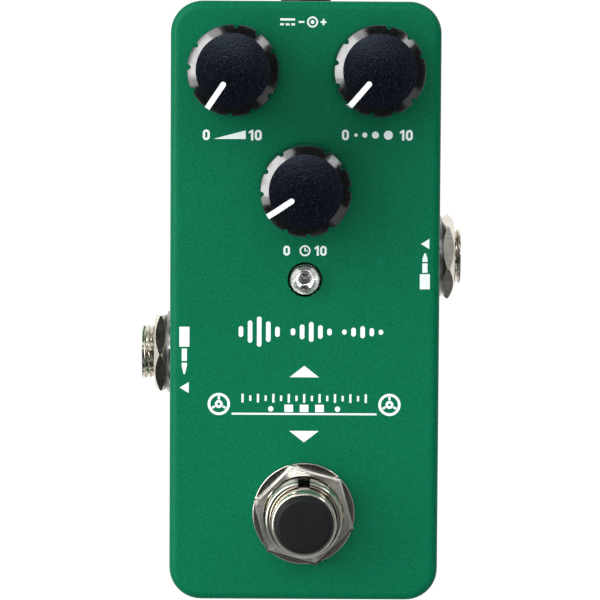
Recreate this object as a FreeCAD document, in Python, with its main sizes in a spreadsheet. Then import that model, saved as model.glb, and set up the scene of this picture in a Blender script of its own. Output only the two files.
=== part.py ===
import FreeCAD, Part
import math
import os
import re

import Sketcher
from FreeCAD import Vector

# A small tape echo effect pedal: a die-cast case with three knobs, an indicator lamp, a foot
# switch, two jack sockets in its sides and a power socket in its rear wall.
# Millimetres and degrees. The origin lies under the middle of the case, on the floor.
# +X is the input side, +Y the rear with the power socket, +Z up.

SIZES = {
    # case
    "case_width": 42.0,
    "case_length": 93.5,
    "case_height": 31.0,
    "corner_radius": 5.0,
    "edge_round": 1.4,
    "wall": 2.0,
    "panel_thickness": 2.2,
    "plate_thickness": 1.5,
    "plate_ledge": 1.0,
    "pad_thickness": 1.5,
    "pad_margin": 3.0,
    "boss_radius": 3.0,
    "boss_inset": 4.5,
    # screws that hold the base plate
    "screw_radius": 1.5,
    "screw_head_radius": 2.8,
    "screw_length": 9.0,
    "screw_recess_span": 2.6,
    "screw_recess_width": 0.7,
    "screw_recess_depth": 0.8,
    "screw_tip_bevel": 0.45,
    # clearances
    "seat_gap": 0.15,
    "thread_gap": 0.05,
    "board_gap": 0.5,
    "slot_gap": 0.1,
    "running_gap": 0.05,
    "slide_gap": 0.1,
    "end_gap": 0.1,
    # circuit boards
    "board_thickness": 1.6,
    "control_margin": 6.0,
    "pin_stub": 0.8,
    "header_pins": 6,
    "header_pitch": 2.54,
    "header_pin_side": 0.64,
    "header_block_width": 2.5,
    "header_block_height": 2.5,
    "header_inset": 2.6,
    "header_step": 15.0,
    # potentiometers
    "knob_spread": 11.1,
    "knob_row_inset": 10.75,
    "time_knob_step": 18.2,
    "pot_case_width": 9.7,
    "pot_case_front": 5.2,
    "pot_case_height": 6.5,
    "pot_floor": 1.2,
    "pot_roof": 2.1,
    "pot_cavity_radius": 4.2,
    "pot_bushing_radius": 3.5,
    "pot_bushing_length": 5.0,
    "pot_washer_radius": 5.5,
    "pot_washer_thickness": 0.5,
    "pot_nut_flats": 10.0,
    "pot_nut_thickness": 1.9,
    "pot_stop_width": 1.4,
    "pot_stop_depth": 0.6,
    "pot_leg_pitch": 2.5,
    "pot_leg_width": 1.0,
    "pot_leg_thickness": 0.5,
    "pot_leg_reach": 2.1,
    "wiper_radius": 3.2,
    "wiper_tab_width": 1.6,
    "shaft_neck_radius": 2.4,
    "shaft_radius": 3.0,
    "shaft_length": 8.0,
    "shaft_bevel": 0.4,
    "shaft_slot_width": 1.0,
    "shaft_slot_depth": 5.0,
    # knobs
    "knob_radius": 7.15,
    "knob_top_radius": 6.9,
    "knob_height": 13.4,
    "knob_float": 0.6,
    "knob_bevel_width": 1.3,
    "knob_bevel_height": 0.8,
    "knob_dome": 0.3,
    "knob_hollow_radius": 5.95,
    "knob_notch_width": 0.9,
    "knob_notch_depth": 0.62,
    "knob_notch_step": 30.0,
    "knob_notch_groups": 3,
    "pointer_width": 0.9,
    "pointer_depth": 0.35,
    "pointer_start": 2.15,
    "level_angle": -124.0,
    "repeat_angle": -130.6,
    "time_angle": -146.3,
    # indicator lamp
    "lamp_step": 14.2,
    "lamp_radius": 2.5,
    "lamp_flange_radius": 2.9,
    "lamp_flange_height": 1.0,
    "lamp_height": 8.6,
    "lamp_rise": 2.3,
    "lamp_hole_radius": 2.7,
    "lamp_lead_pitch": 2.54,
    "lamp_lead_side": 0.5,
    "lamp_post_width": 1.1,
    "lamp_post_height": 4.2,
    # foot switch
    "switch_inset": 13.8,
    "switch_thread_radius": 6.0,
    "switch_thread_rise": 8.0,
    "switch_thread_bevel": 0.3,
    "switch_key_width": 1.85,
    "switch_nut_flats": 14.0,
    "switch_nut_thickness": 2.5,
    "switch_nut_bevel": 0.5,
    "switch_nut_turn": 45.0,
    "switch_washer_radius": 8.0,
    "switch_washer_thickness": 0.8,
    "switch_lock_thickness": 0.8,
    "switch_lock_radius": 7.6,
    "switch_lock_tooth": 0.9,
    "switch_lock_teeth": 12,
    "switch_inner_nut_thickness": 2.0,
    "switch_thread_showing": 0.9,
    "switch_frame_thickness": 1.0,
    "switch_case_side": 17.0,
    "switch_case_wall": 1.2,
    "switch_floor": 2.0,
    "switch_lug_width": 2.0,
    "switch_lug_thickness": 0.5,
    "switch_lug_head": 1.0,
    "switch_lug_column": 4.7,
    "switch_lug_row": 5.0,
    "switch_arm_thickness": 0.4,
    "switch_arm_width": 2.2,
    "switch_arm_rise": 2.2,
    "switch_rocker_height": 4.2,
    "switch_spigot_radius": 2.0,
    "switch_spigot_height": 1.4,
    "spring_radius": 2.9,
    "spring_wire_radius": 0.3,
    "spring_turns": 5,
    "plunger_radius": 5.0,
    "plunger_rise": 5.0,
    "plunger_edge": 0.35,
    "plunger_flange_radius": 6.2,
    "plunger_flange_thickness": 1.5,
    "cap_radius": 4.6,
    "cap_rise": 1.5,
    "cap_round": 0.7,
    "cap_stem_radius": 3.4,
    "cap_stem_depth": 2.0,
    # jack sockets
    "jack_headroom": 0.3,
    "input_y": 6.3,
    "output_y": -9.3,
    "jack_bore_radius": 3.25,
    "jack_thread_radius": 4.4,
    "input_thread_rise": 4.0,
    "output_thread_rise": 5.0,
    "jack_thread_bevel": 0.35,
    "jack_tube_depth": 7.0,
    "jack_flange_radius": 5.2,
    "jack_flange_thickness": 1.2,
    "jack_nut_flats": 12.0,
    "jack_nut_thickness": 2.0,
    "jack_nut_bevel": 0.45,
    "jack_washer_radius": 7.2,
    "jack_washer_thickness": 0.5,
    "jack_lock_radius": 6.5,
    "jack_lock_thickness": 0.4,
    "jack_case_width": 14.8,
    "jack_case_height": 12.2,
    "jack_back_wall": 3.3,
    "jack_plug_radius": 3.7,
    "jack_plug_depth": 26.2,
    "jack_leaf_thickness": 0.3,
    "jack_leaf_width": 3.0,
    "jack_leaf_length": 11.0,
    "jack_leaf_flat": 5.0,
    "jack_leaf_crest": 8.2,
    "jack_leaf_height": 4.6,
    "jack_leaf_dip": 2.6,
    "jack_lug_width": 2.0,
    "jack_lug_thickness": 0.5,
    "input_nut_turn": 44.3,
    "output_nut_turn": 90.0,
    # power socket
    "power_case_width": 9.0,
    "power_case_above": 4.5,
    "power_case_length": 14.0,
    "power_collar_radius": 4.0,
    "power_collar_rise": 0.75,
    "power_bore_radius": 3.1,
    "power_bore_depth": 10.0,
    "power_pin_radius": 1.0,
    "power_root_radius": 1.2,
    "power_pin_recess": 1.0,
    "power_pin_round": 0.4,
    "power_leg_width": 2.0,
    "power_leg_thickness": 0.4,
    "power_leaf_width": 2.6,
    "power_leaf_thickness": 0.3,
    "power_leaf_length": 7.0,
    "power_leaf_crest": 4.2,
    # parts on the main board, behind the input jack
    "parts_gap": 1.9,
    "chip_standoff": 0.15,
    "chip_leg_thickness": 0.25,
    "chip_leg_width": 0.45,
    "chip_leg_pitch": 1.27,
    "chip_leg_reach": 1.4,
    "delay_chip_x": -6.2,
    "delay_chip_back": 6.0,
    "delay_chip_length": 10.3,
    "delay_chip_width": 7.5,
    "delay_chip_height": 2.3,
    "delay_chip_legs": 8,
    "op_amp_x": 4.6,
    "op_amp_back": 3.5,
    "op_amp_length": 4.9,
    "op_amp_width": 3.9,
    "op_amp_height": 1.5,
    "op_amp_legs": 4,
    "regulator_x": -11.0,
    "regulator_back": 18.5,
    "regulator_length": 6.5,
    "regulator_width": 3.5,
    "regulator_height": 1.6,
    "regulator_legs": 3,
    "capacitor_x": 13.2,
    "capacitor_pitch": 7.5,
    "capacitor_count": 3,
    "capacitor_radius": 2.5,
    "capacitor_height": 7.0,
    "capacitor_groove": 0.3,
    "capacitor_groove_rise": 1.5,
    "capacitor_lead_pitch": 2.0,
    "capacitor_lead_radius": 0.25,
    "resistor_gap": 0.5,
    "resistor_back": 10.0,
    "resistor_length": 2.0,
    "resistor_width": 1.25,
    "resistor_height": 0.5,
    "resistor_pitch_x": 3.0,
    "resistor_pitch_y": 2.2,
}

# Places that follow from the sizes above, each written once.
PLACES = {
    "half_width": "case_width / 2",
    "half_length": "case_length / 2",
    "inner_half_width": "half_width - wall",
    "inner_half_length": "half_length - wall",
    "ledge_half_width": "inner_half_width + plate_ledge",
    "ledge_half_length": "inner_half_length + plate_ledge",
    "ledge_corner": "corner_radius - wall + plate_ledge",
    "panel_top": "pad_thickness + case_height",
    "ceiling": "panel_top - panel_thickness",
    "screw_x": "half_width - boss_inset",
    "screw_y": "half_length - boss_inset",
    "boss_foot": "plate_thickness",
    "board_half_width": "inner_half_width - board_gap",
    "board_half_length": "inner_half_length - board_gap",
    "control_top": "ceiling - pot_case_height",
    "control_bottom": "control_top - board_thickness",
    "jack_height": "control_bottom - pin_stub - jack_headroom - jack_case_height / 2",
    "main_top": "jack_height - jack_case_height / 2",
    "main_bottom": "main_top - board_thickness",
    "tail_end": "main_bottom - pin_stub",
    "knob_row_y": "half_length - knob_row_inset",
    "time_knob_y": "knob_row_y - time_knob_step",
    "lamp_y": "time_knob_y - lamp_step",
    "switch_y": "switch_inset - half_length",
    "header_row_y": "knob_row_y - header_step",
    "control_front": "lamp_y - control_margin",
    "header_x": "header_inset - inner_half_width",
    "pot_leg_y": "-(pot_case_front + pot_leg_reach)",
    "pot_cavity_top": "pot_case_height - pot_roof",
    "pot_bushing_top": "pot_case_height + pot_bushing_length",
    "pot_bore_radius": "shaft_neck_radius + running_gap",
    "pot_hole_radius": "pot_bushing_radius + seat_gap",
    "shaft_foot": "pot_bushing_top + end_gap",
    "shaft_end": "shaft_foot + shaft_length",
    "knob_bottom": "panel_top + knob_float",
    "knob_hollow_height": "control_top + shaft_foot - knob_bottom + 4 * end_gap",
    "knob_bore_height": "control_top + shaft_end - knob_bottom + 2 * end_gap",
    "knob_face_radius": "knob_top_radius - knob_bevel_width",
    "knob_face": "knob_height - knob_dome",
    "knob_shoulder": "knob_face - knob_bevel_height",
    "pointer_top": "knob_height - knob_dome / 4 * pointer_start / (knob_face_radius / 2)",
    "lamp_bottom": "panel_top + lamp_rise - lamp_height",
    "lamp_spacer_height": "lamp_bottom - control_top",
    "switch_hole_radius": "switch_thread_radius + seat_gap",
    "switch_bore_radius": "plunger_radius + slide_gap",
    "switch_lock_bottom": "ceiling - switch_lock_thickness",
    "switch_inner_nut_bottom": "switch_lock_bottom - switch_inner_nut_thickness",
    "switch_frame_top": "switch_inner_nut_bottom - switch_thread_showing",
    "switch_frame_bottom": "switch_frame_top - switch_frame_thickness",
    "switch_case_height": "switch_frame_bottom - main_top",
    "switch_lug_top": "main_top + switch_floor + switch_lug_head",
    "switch_rocker_bottom": "switch_lug_top + switch_arm_thickness",
    "switch_rocker_top": "switch_rocker_bottom + switch_rocker_height",
    "plunger_bottom": "switch_frame_bottom - end_gap - plunger_flange_thickness",
    "plunger_top": "panel_top + switch_thread_rise + plunger_rise",
    "spring_height": "plunger_bottom - switch_rocker_top - 2 * spring_wire_radius - 2 * end_gap",
    "jack_case_length": "jack_plug_depth + jack_back_wall - wall",
    "jack_flange_back": "-wall - jack_flange_thickness",
    "jack_lug_back": "jack_flange_back - jack_lug_thickness",
    "jack_seat_radius": "jack_flange_radius + seat_gap",
    "jack_root": "-jack_plug_depth - 2 * jack_leaf_thickness",
    "jack_tail": "tail_end - jack_height",
    "jack_hole_radius": "jack_thread_radius + seat_gap",
    "jack_nut_foot": "jack_washer_thickness + jack_lock_thickness",
    "power_hole_radius": "power_collar_radius + seat_gap",
    "power_case_back": "-wall - power_case_length",
    "power_bore_end": "power_collar_rise - power_bore_depth",
    "power_case_below": "main_top - jack_height",
    "power_leaf_back": "power_bore_end - power_leaf_thickness",
    "parts_front": "input_y + jack_case_width / 2 + parts_gap",
    "capacitor_front_y": "parts_front + capacitor_radius",
    "delay_chip_y": "parts_front + delay_chip_back",
    "op_amp_y": "parts_front + op_amp_back",
    "regulator_y": "parts_front + regulator_back",
    "resistor_x": "(power_case_width + resistor_pitch_x + resistor_length) / 2 + resistor_gap",
    "resistor_y": "parts_front + resistor_back",
    "capacitor_bottom": "main_top + chip_standoff",
}

# Where each knob and its potentiometer stand.
KNOBS = {
    "level": ("-knob_spread", "knob_row_y"),
    "repeat": ("knob_spread", "knob_row_y"),
    "time": ("0", "time_knob_y"),
}

# The side of the case that each jack socket is in.
JACKS = {"input": 1, "output": -1}

doc = FreeCAD.newDocument("EchoPedal")
sheet = doc.addObject("Spreadsheet::Sheet", "Sizes")
for row, (size_name, size) in enumerate(SIZES.items(), 1):
    sheet.set(f"A{row}", size_name)
    sheet.set(f"B{row}", str(size))
    sheet.setAlias(f"B{row}", size_name)
doc.recompute()

pieces = {}


def formula(text):
    """Write a formula of named sizes and places out in full, in terms of the sheet's cells."""

    def word(found):
        name = found.group(0)
        if name in PLACES:
            return "(" + formula(PLACES[name]) + ")"
        if name in SIZES:
            return "Sizes." + name
        return name

    return re.sub(r"[A-Za-z_][A-Za-z_0-9]*", word, str(text))


def number(text):
    """The value that a formula has now."""
    return float(sheet.evalExpression(formula(text)))


def bind(thing, prop, text):
    """Tie a property to a formula."""
    thing.setExpression(prop, formula(text))


def place(thing, x, y, z, axis, turn):
    """Put a piece at its place, turned about an axis; every value is a formula."""
    spot = f"vector({formula(x)}; {formula(y)}; {formula(z)})"
    thing.setExpression("Placement", f"placement({spot}; rotation(vector({axis}); {formula(turn)}))")


def new_body(label, x="0", y="0", z="0", axis="0; 0; 1", turn="0"):
    """A new sub-part at its place, listed under its label."""
    body = doc.addObject("PartDesign::Body", label)
    body.Label = label
    pieces[label] = body
    place(body, x, y, z, axis, turn)
    return body


def own_origin(body, role):
    """One of the body's own planes or axes."""
    return [feature for feature in body.Origin.OriginFeatures if feature.Role == role][0]


def sketch(body, plane, height=0, across=0, along=0):
    """A sketch on one of the body's own planes, moved along the plane's normal and within it."""
    drawing = body.newObject("Sketcher::SketchObject", "Sketch")
    drawing.AttachmentSupport = [(own_origin(body, plane), "")]
    drawing.MapMode = "FlatFace"
    bind(drawing, "AttachmentOffset.Base.x", across)
    bind(drawing, "AttachmentOffset.Base.y", along)
    bind(drawing, "AttachmentOffset.Base.z", height)
    return drawing


def constrain(drawing, constraint, text):
    """Add a dimension to a sketch and tie it to its formula."""
    index = drawing.addConstraint(constraint)
    bind(drawing, f"Constraints[{index}]", text)


def hold_point(drawing, geometry, end, x, y):
    """Dimension a point of a sketch from the sketch's origin."""
    constrain(drawing, Sketcher.Constraint("DistanceX", -1, 1, geometry, end, number(x)), x)
    constrain(drawing, Sketcher.Constraint("DistanceY", -1, 1, geometry, end, number(y)), y)


def circle(drawing, x, y, radius):
    """A dimensioned circle."""
    centre = Vector(number(x), number(y), 0)
    index = drawing.addGeometry(Part.Circle(centre, Vector(0, 0, 1), number(radius)))
    hold_point(drawing, index, 3, x, y)
    constrain(drawing, Sketcher.Constraint("Radius", index, number(radius)), radius)


def polygon(drawing, points):
    """A closed outline of straight lines through dimensioned corners."""
    corners = [Vector(number(x), number(y), 0) for x, y in points]
    count = len(points)
    lines = []
    for step in range(count):
        edge = Part.LineSegment(corners[step], corners[(step + 1) % count])
        lines.append(drawing.addGeometry(edge))
    for step in range(count):
        following = lines[(step + 1) % count]
        drawing.addConstraint(Sketcher.Constraint("Coincident", lines[step], 2, following, 1))
    for line, (x, y) in zip(lines, points):
        hold_point(drawing, line, 1, x, y)


def rectangle(drawing, left, right, low, high):
    """An upright rectangle between four dimensioned sides."""
    polygon(drawing, [(left, low), (right, low), (right, high), (left, high)])


def centred_rectangle(drawing, x, y, width, length):
    """A rectangle about a centre."""
    left, right = f"({x}) - ({width}) / 2", f"({x}) + ({width}) / 2"
    low, high = f"({y}) - ({length}) / 2", f"({y}) + ({length}) / 2"
    rectangle(drawing, left, right, low, high)


def rounded_rectangle(drawing, half_x, half_y, radius):
    """A rectangle about the origin whose corners are arcs that run into its sides."""
    reach_x, reach_y, bend = number(half_x), number(half_y), number(radius)
    quarters = [(1, 1), (-1, 1), (-1, -1), (1, -1)]
    arcs = []
    for quarter, (side_x, side_y) in enumerate(quarters):
        centre = Vector(side_x * (reach_x - bend), side_y * (reach_y - bend), 0)
        start = quarter * math.pi / 2
        ring = Part.Circle(centre, Vector(0, 0, 1), bend)
        arcs.append(drawing.addGeometry(Part.ArcOfCircle(ring, start, start + math.pi / 2)))
    for quarter, (side_x, side_y) in enumerate(quarters):
        arc = arcs[quarter]
        following = arcs[(quarter + 1) % 4]
        ends = (drawing.Geometry[arc].EndPoint, drawing.Geometry[following].StartPoint)
        side = drawing.addGeometry(Part.LineSegment(*ends))
        drawing.addConstraint(Sketcher.Constraint("Tangent", arc, 2, side, 1))
        drawing.addConstraint(Sketcher.Constraint("Tangent", side, 2, following, 1))
    for quarter, (side_x, side_y) in enumerate(quarters):
        x = f"{side_x} * (({half_x}) - ({radius}))"
        y = f"{side_y} * (({half_y}) - ({radius}))"
        hold_point(drawing, arcs[quarter], 3, x, y)
        constrain(drawing, Sketcher.Constraint("Radius", arcs[quarter], bend), radius)


def hexagon(drawing, x, y, flats, turn):
    """A hexagon by its width across flats, with one corner at the angle turn."""
    corners = []
    for step in range(6):
        angle = f"(({turn}) + {60 * step})"
        reach = f"({flats}) / sqrt(3)"
        corners.append((f"({x}) + {reach} * cos({angle})", f"({y}) + {reach} * sin({angle})"))
    polygon(drawing, corners)


def pad(body, drawing, length, reverse=False, midplane=False):
    """Raise a sketch into a solid."""
    feature = body.newObject("PartDesign::Pad", "Pad")
    feature.Profile = drawing
    bind(feature, "Length", length)
    feature.Reversed = reverse
    feature.Midplane = midplane
    doc.recompute()
    return feature


def cut_checked(body, feature, before):
    """Stop if a cut took nothing away."""
    doc.recompute()
    if body.Shape.isNull() or before - body.Shape.Volume < 1e-4:
        raise RuntimeError(f"{feature.Name} in {body.Label} removes nothing")
    return feature


def pocket(body, drawing, depth, reverse=False, midplane=False):
    """Cut a sketch into the solid."""
    doc.recompute()
    before = body.Shape.Volume
    feature = body.newObject("PartDesign::Pocket", "Pocket")
    feature.Profile = drawing
    bind(feature, "Length", depth)
    feature.Reversed = reverse
    feature.Midplane = midplane
    return cut_checked(body, feature, before)


def revolve(body, drawing):
    """Turn a sketch about its own upright axis."""
    feature = body.newObject("PartDesign::Revolution", "Revolution")
    feature.Profile = drawing
    feature.ReferenceAxis = (drawing, ["V_Axis"])
    feature.Angle = 360
    doc.recompute()
    return feature


def groove(body, drawing):
    """Cut a sketch away all round its own upright axis."""
    doc.recompute()
    before = body.Shape.Volume
    feature = body.newObject("PartDesign::Groove", "Groove")
    feature.Profile = drawing
    feature.ReferenceAxis = (drawing, ["V_Axis"])
    feature.Angle = 360
    return cut_checked(body, feature, before)


def edges_of(feature, wanted):
    """Names of the edges of a feature that pass a test."""
    return [f"Edge{place}" for place, edge in enumerate(feature.Shape.Edges, 1) if wanted(edge)]


def ring_edges(feature, radius, height):
    """Names of the circles of one radius that lie at one height."""

    def wanted(edge):
        if edge.Curve.TypeId != "Part::GeomCircle":
            return False
        same_radius = abs(edge.Curve.Radius - number(radius)) < 1e-4
        return same_radius and abs(edge.Curve.Center.z - number(height)) < 1e-4

    return edges_of(feature, wanted)


def dress(body, kind, feature, edges, size):
    """Round or bevel edges of a feature."""
    if not edges:
        raise RuntimeError(f"no edges to dress in {body.Label}")
    dressed = body.newObject(f"PartDesign::{kind}", kind)
    dressed.Base = (feature, edges)
    bind(dressed, "Radius" if kind == "Fillet" else "Size", size)
    doc.recompute()
    return dressed


def polar(body, features, count):
    """Repeat features all round the body's upright axis."""
    pattern = body.newObject("PartDesign::PolarPattern", "PolarPattern")
    pattern.Originals = features
    pattern.Axis = (own_origin(body, "Z_Axis"), [""])
    pattern.Angle = 360
    bind(pattern, "Occurrences", count)
    body.Tip = pattern
    doc.recompute()
    return pattern


def linear(body, features, axis, count, pitch):
    """Repeat features along one of the body's axes."""
    pattern = body.newObject("PartDesign::LinearPattern", "LinearPattern")
    pattern.Originals = features
    pattern.Direction = (own_origin(body, axis), [""])
    bind(pattern, "Occurrences", count)
    bind(pattern, "Length", f"({pitch}) * ({count} - 1)")
    body.Tip = pattern
    doc.recompute()
    return pattern


def four_corners(body, features):
    """Repeat features of the rear right corner in the other three corners."""
    pattern = body.newObject("PartDesign::MultiTransform", "MultiTransform")
    pattern.Originals = features
    mirrors = []
    for plane in ("YZ_Plane", "XZ_Plane"):
        mirror = doc.addObject("PartDesign::Mirrored", "CornerMirror")
        mirror.MirrorPlane = (own_origin(body, plane), [""])
        mirrors.append(mirror)
    pattern.Transformations = mirrors
    body.Tip = pattern
    doc.recompute()
    return pattern


# Case


def make_enclosure():
    """Die-cast case: a deep tray turned upside down, with a screw boss in each corner."""
    body = new_body("enclosure", z="pad_thickness")
    outline = sketch(body, "XY_Plane")
    rounded_rectangle(outline, "half_width", "half_length", "corner_radius")
    block = pad(body, outline, "case_height")
    top = number("case_height")
    top_edges = edges_of(block, lambda edge: abs(edge.BoundBox.ZMin - top) < 1e-6)
    dress(body, "Fillet", block, top_edges, "edge_round")

    inside = sketch(body, "XY_Plane")
    rounded_rectangle(inside, "inner_half_width", "inner_half_length", "corner_radius - wall")
    pocket(body, inside, "case_height - panel_thickness", reverse=True)

    bosses = sketch(body, "XY_Plane", "boss_foot")
    holes = sketch(body, "XY_Plane", "boss_foot")
    for side_x in (1, -1):
        for side_y in (1, -1):
            circle(bosses, f"{side_x} * screw_x", f"{side_y} * screw_y", "boss_radius")
            circle(holes, f"{side_x} * screw_x", f"{side_y} * screw_y", "screw_radius + thread_gap")
    pad(body, bosses, "case_height - panel_thickness / 2 - boss_foot")
    pocket(body, holes, "screw_length - plate_thickness + 2 * board_gap", reverse=True)

    rebate = sketch(body, "XY_Plane")
    rounded_rectangle(rebate, "ledge_half_width", "ledge_half_length", "ledge_corner")
    pocket(body, rebate, "plate_thickness", reverse=True)

    panel_holes = sketch(body, "XY_Plane", "case_height")
    for x, y in KNOBS.values():
        circle(panel_holes, x, y, "pot_hole_radius")
    circle(panel_holes, "0", "lamp_y", "lamp_hole_radius")
    circle(panel_holes, "0", "switch_y", "switch_hole_radius")
    pocket(body, panel_holes, "panel_thickness + board_gap")

    for name, side in JACKS.items():
        jack_hole = sketch(body, "YZ_Plane", f"{side} * half_width")
        circle(jack_hole, f"{name}_y", "jack_height - pad_thickness", "jack_hole_radius")
        pocket(body, jack_hole, "wall + board_gap / 2", reverse=side < 0)
    power_hole = sketch(body, "XZ_Plane", "-half_length")
    circle(power_hole, "0", "jack_height - pad_thickness", "power_hole_radius")
    pocket(body, power_hole, "wall + board_gap / 2", reverse=True)


def make_base_plate():
    """Flat base plate, let into the open side of the case, with four countersunk holes."""
    body = new_body("base_plate", z="pad_thickness")
    outline = sketch(body, "XY_Plane")
    sides = [f"{side} - seat_gap" for side in ("ledge_half_width", "ledge_half_length", "ledge_corner")]
    rounded_rectangle(outline, *sides)
    pad(body, outline, "plate_thickness")
    holes = sketch(body, "XY_Plane")
    for side_x in (1, -1):
        for side_y in (1, -1):
            circle(holes, f"{side_x} * screw_x", f"{side_y} * screw_y", "screw_radius + seat_gap")
    doc.recompute()
    before = body.Shape.Volume
    hole = body.newObject("PartDesign::Hole", "Hole")
    hole.Profile = holes
    hole.DepthType = "ThroughAll"
    hole.Reversed = True
    hole.HoleCutType = "Countersink"
    hole.HoleCutCustomValues = True
    hole.HoleCutCountersinkAngle = 90
    bind(hole, "Diameter", "2 * (screw_radius + seat_gap)")
    bind(hole, "HoleCutDiameter", "2 * (screw_head_radius + slot_gap)")
    cut_checked(body, hole, before)


def make_base_screws():
    """Four countersunk machine screws with a cross recess."""
    body = new_body("base_screws", z="pad_thickness")
    profile = sketch(body, "XZ_Plane", "-screw_y", across="screw_x")
    points = [
        ("0", "0"),
        ("screw_head_radius", "0"),
        ("screw_radius", "screw_head_radius - screw_radius"),
        ("screw_radius", "screw_length - screw_tip_bevel"),
        ("screw_radius - screw_tip_bevel", "screw_length"),
        ("0", "screw_length"),
    ]
    polygon(profile, points)
    shank = revolve(body, profile)
    cross = sketch(body, "XY_Plane", across="screw_x", along="screw_y")
    long_arm, short_arm = "screw_recess_span / 2", "screw_recess_width / 2"
    quarter = [(long_arm, short_arm), (short_arm, short_arm), (short_arm, long_arm)]
    corners = []
    for turn in range(4):
        for x, y in quarter:
            for step in range(turn):
                x, y = f"-({y})", x
            corners.append((x, y))
    polygon(cross, corners)
    recess = pocket(body, cross, "screw_recess_depth", reverse=True)
    four_corners(body, [shank, recess])


def make_rubber_pad():
    """Rubber sheet under the base plate, cut back at the corners for the screws."""
    body = new_body("rubber_pad")
    outline = sketch(body, "XY_Plane")
    half_x, half_y = "half_width - pad_margin", "half_length - pad_margin"
    rounded_rectangle(outline, half_x, half_y, "corner_radius - wall")
    pad(body, outline, "pad_thickness")
    cutouts = sketch(body, "XY_Plane")
    for side_x in (1, -1):
        for side_y in (1, -1):
            circle(cutouts, f"{side_x} * screw_x", f"{side_y} * screw_y", "screw_head_radius + wall")
    pocket(body, cutouts, "pad_thickness", reverse=True)


# Circuit boards


def board_holes(body, drawings):
    """Cut each sketch right through a board that starts at height 0."""
    for drawing in drawings:
        pocket(body, drawing, "board_thickness", reverse=True)


def header_rectangles(drawing, side):
    """One square for each pin of the header that joins the boards."""
    for step in range(SIZES["header_pins"]):
        y = f"header_row_y + ({step} - (header_pins - 1) / 2) * header_pitch"
        centred_rectangle(drawing, "header_x", y, side, side)


def make_control_board():
    """Upper board, which carries the three potentiometers and the lamp."""
    body = new_body("control_board", z="control_bottom")
    outline = sketch(body, "XY_Plane")
    rectangle(outline, "-board_half_width", "board_half_width", "control_front", "board_half_length")
    pad(body, outline, "board_thickness")
    notches = sketch(body, "XY_Plane")
    for side_x in (1, -1):
        circle(notches, f"{side_x} * screw_x", "screw_y", "boss_radius + board_gap")
    legs = sketch(body, "XY_Plane")
    for x, y in KNOBS.values():
        for step in (-1, 0, 1):
            place_x = f"({x}) + {step} * pot_leg_pitch"
            width, length = "pot_leg_width + 2 * slot_gap", "pot_leg_thickness + 2 * slot_gap"
            centred_rectangle(legs, place_x, f"({y}) + pot_leg_y", width, length)
    leads = sketch(body, "XY_Plane")
    for side in (1, -1):
        circle(leads, f"{side} * lamp_lead_pitch / 2", "lamp_y", "lamp_lead_side")
    pins = sketch(body, "XY_Plane")
    header_rectangles(pins, "header_pin_side + 2 * slot_gap")
    board_holes(body, [notches, legs, leads, pins])


def lug_rectangles(drawing, gap):
    """Nine rectangles, one for each lug of the foot switch."""
    for column in (-1, 0, 1):
        for row in (-1, 0, 1):
            x, y = f"{column} * switch_lug_column", f"{row} * switch_lug_row"
            width, length = f"switch_lug_width + 2 * ({gap})", f"switch_lug_thickness + 2 * ({gap})"
            centred_rectangle(drawing, x, y, width, length)


def make_main_board():
    """Lower board, the full length of the case, which carries the sockets and the foot switch."""
    body = new_body("main_board", z="main_bottom")
    outline = sketch(body, "XY_Plane")
    rectangle(outline, "-board_half_width", "board_half_width", "-board_half_length", "board_half_length")
    pad(body, outline, "board_thickness")
    notches = sketch(body, "XY_Plane")
    for side_x in (1, -1):
        for side_y in (1, -1):
            circle(notches, f"{side_x} * screw_x", f"{side_y} * screw_y", "boss_radius + board_gap")
    lugs = sketch(body, "XY_Plane", along="switch_y")
    lug_rectangles(lugs, "slot_gap")
    jacks = sketch(body, "XY_Plane")
    for name, side in JACKS.items():
        root_x = f"{side} * (half_width + jack_root)"
        root = ("jack_leaf_thickness + 2 * slot_gap", "jack_leaf_width + 2 * slot_gap")
        centred_rectangle(jacks, root_x, f"{name}_y", *root)
        lug_x = f"{side} * (half_width + (jack_flange_back + jack_lug_back) / 2)"
        lug = ("jack_lug_thickness + 2 * slot_gap", "jack_lug_width + 2 * slot_gap")
        centred_rectangle(jacks, lug_x, f"{name}_y", *lug)
    power = sketch(body, "XY_Plane")
    pin_y = "half_length + power_case_back - power_leg_thickness / 2"
    width, length = "power_leg_width + 2 * slot_gap", "power_leg_thickness + 2 * slot_gap"
    centred_rectangle(power, "0", pin_y, width, length)
    leaf_y = "half_length + power_leaf_back + power_leaf_thickness / 2"
    width, length = "power_leaf_width + 2 * slot_gap", "power_leaf_thickness + 2 * slot_gap"
    centred_rectangle(power, "0", leaf_y, width, length)
    pins = sketch(body, "XY_Plane")
    header_rectangles(pins, "header_pin_side + 2 * slot_gap")
    cans = sketch(body, "XY_Plane")
    for step in range(SIZES["capacitor_count"]):
        for side in (1, -1):
            x = f"capacitor_x + {side} * capacitor_lead_pitch / 2"
            y = f"capacitor_front_y + {step} * capacitor_pitch"
            circle(cans, x, y, "capacitor_lead_radius + slot_gap")
    board_holes(body, [notches, lugs, jacks, power, pins, cans])


def make_header():
    """Row of long pins that joins the boards, and the plastic strip that spaces it on each board."""
    body = new_body("header_pins", z="tail_end")
    pins = sketch(body, "XY_Plane")
    header_rectangles(pins, "header_pin_side")
    pad(body, pins, "control_top + pin_stub - tail_end")

    blocks = new_body("header_blocks")
    for bottom in ("main_top", "control_bottom - header_block_height"):
        outline = sketch(blocks, "XY_Plane", bottom)
        length = "header_pins * header_pitch"
        centred_rectangle(outline, "header_x", "header_row_y", "header_block_width", length)
        header_rectangles(outline, "header_pin_side + 2 * slot_gap")
        pad(blocks, outline, "header_block_height")


# Potentiometers and knobs


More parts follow.
